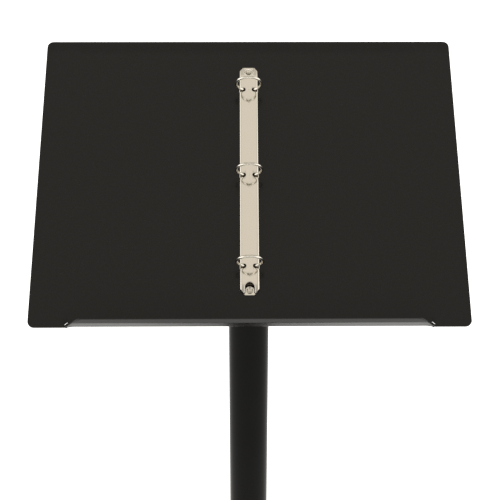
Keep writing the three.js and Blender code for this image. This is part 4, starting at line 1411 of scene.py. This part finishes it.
@dataclass
class Studio:
    """Pale floor, soft light from above and a bright surround, and the camera."""

    camera_place: Colour = (-0.0099, -1.1935, 1.5998)
    pitch: float = 27.263
    yaw: float = -0.543
    roll: float = 0.114
    lens: float = 82.44
    floor_half: float = 40.0
    floor_glow: float = 1.0
    surround: float = 0.95
    overhead: float = 0.72
    flank: float = 0.9
    key_power: float = 1.6
    key_place: Colour = (0.0, -0.48, 2.75)
    key_size: tuple[float, float] = (1.7, 1.25)
    key_colour: Colour = (1.0, 0.95, 0.86)

    def camera(self) -> None:
        """Camera that looks down at the desk from a standing reader's eyes."""
        data = bpy.data.cameras.new("camera")
        data.lens = self.lens
        data.sensor_width = 36
        camera = bpy.data.objects.new("camera", data)
        bpy.context.scene.collection.objects.link(camera)
        turn = (
            Matrix.Rotation(math.radians(self.yaw), 4, "Z")
            @ Matrix.Rotation(math.radians(90 - self.pitch), 4, "X")
            @ Matrix.Rotation(math.radians(self.roll), 4, "Z")
        )
        camera.matrix_world = Matrix.Translation(self.camera_place) @ turn
        bpy.context.scene.camera = camera

    def floor(self) -> None:
        """Wide pale floor that glows a little, as a lit studio sweep does."""
        half = self.floor_half / MM
        edge = np.linspace(-half, half, 9)
        x, y = np.meshgrid(edge, edge)
        piece = to_object("floor", grid_skin(np.stack([x, y, np.zeros_like(x)], axis=-1)), closed=False)
        paint = bpy.data.materials.new("pale_floor")
        paint.use_nodes = True
        shader = paint.node_tree.nodes["Principled BSDF"]
        shader.inputs["Base Color"].default_value = (0.82, 0.82, 0.81, 1)
        shader.inputs["Roughness"].default_value = 0.9
        shader.inputs["Specular IOR Level"].default_value = 0.1
        shader.inputs["Emission Color"].default_value = (1, 1, 1, 1)
        shader.inputs["Emission Strength"].default_value = self.floor_glow
        piece.data.materials.append(paint)

    def surroundings(self) -> None:
        """White walls, brightest at both flanks and dim behind the reader, under a warm ceiling."""
        world = bpy.data.worlds.new("studio")
        bpy.context.scene.world = world
        world.use_nodes = True
        tree = world.node_tree
        tree.nodes.clear()
        output = tree.nodes.new("ShaderNodeOutputWorld")
        direct = add_node(tree, "ShaderNodeBackground", in_0=(1, 1, 1, 1), in_1=1.0)
        lit = tree.nodes.new("ShaderNodeBackground")
        place = tree.nodes.new("ShaderNodeTexCoord")
        split = tree.nodes.new("ShaderNodeSeparateXYZ")
        smooth = {"interpolation_type": "SMOOTHSTEP"}
        ceiling = add_node(tree, "ShaderNodeMapRange", in_1=0.2, in_2=0.72, **smooth)
        level = add_node(tree, "ShaderNodeMapRange", in_3=self.surround, in_4=self.overhead)
        reader = add_node(tree, "ShaderNodeMapRange", in_1=-0.95, in_2=-0.35, in_3=0.4, in_4=1.0, **smooth)
        aside = add_node(tree, "ShaderNodeMath", operation="ABSOLUTE")
        flank = add_node(tree, "ShaderNodeMapRange", in_1=0.5, in_2=0.95, in_3=0.0, in_4=self.flank, **smooth)
        both = add_node(tree, "ShaderNodeMath", operation="MULTIPLY")
        total = add_node(tree, "ShaderNodeMath", operation="ADD")
        tint = add_node(tree, "ShaderNodeMix", data_type="RGBA")
        tint.inputs[6].default_value = (1, 1, 1, 1)
        tint.inputs[7].default_value = (*self.key_colour, 1)
        path = tree.nodes.new("ShaderNodeLightPath")
        mix = tree.nodes.new("ShaderNodeMixShader")
        for start, end in (
            (place.outputs["Generated"], split.inputs[0]),
            (split.outputs["Z"], ceiling.inputs["Value"]),
            (ceiling.outputs[0], level.inputs["Value"]),
            (split.outputs["Y"], reader.inputs["Value"]),
            (split.outputs["X"], aside.inputs[0]),
            (aside.outputs[0], flank.inputs["Value"]),
            (level.outputs[0], both.inputs[0]),
            (reader.outputs[0], both.inputs[1]),
            (both.outputs[0], total.inputs[0]),
            (flank.outputs[0], total.inputs[1]),
            (total.outputs[0], lit.inputs["Strength"]),
            (ceiling.outputs[0], tint.inputs[0]),
            (tint.outputs[2], lit.inputs["Color"]),
            (path.outputs["Is Camera Ray"], mix.inputs[0]),
            (lit.outputs[0], mix.inputs[1]),
            (direct.outputs[0], mix.inputs[2]),
            (mix.outputs[0], output.inputs[0]),
        ):
            tree.links.new(start, end)

    def key_light(self) -> None:
        """Wide soft light overhead, a little towards the reader."""
        data = bpy.data.lights.new("overhead_softbox", "AREA")
        data.shape = "RECTANGLE"
        data.size, data.size_y = self.key_size
        data.energy = self.key_power
        data.color = self.key_colour
        light = bpy.data.objects.new("overhead_softbox", data)
        bpy.context.scene.collection.objects.link(light)
        light.location = self.key_place
        aim = Vector((0, -0.03, 1.09)) - Vector(self.key_place)
        light.rotation_euler = aim.to_track_quat("-Z", "Y").to_euler()

    def build(self) -> None:
        """Sets up the studio and its plain colour handling."""
        self.camera()
        self.floor()
        self.surroundings()
        self.key_light()
        bpy.context.scene.view_settings.view_transform = "Standard"


def main() -> None:
    """Builds the studio and every sub-assembly in order."""
    Studio().build()
    desk = Desk()
    head = TiltHead()
    Base().build()
    Column().build()
    head.build(desk.place(), desk.height / 2)
    desk.build(head)
    RingMechanism().build(desk.place())


if __name__ == "__main__":
    main()
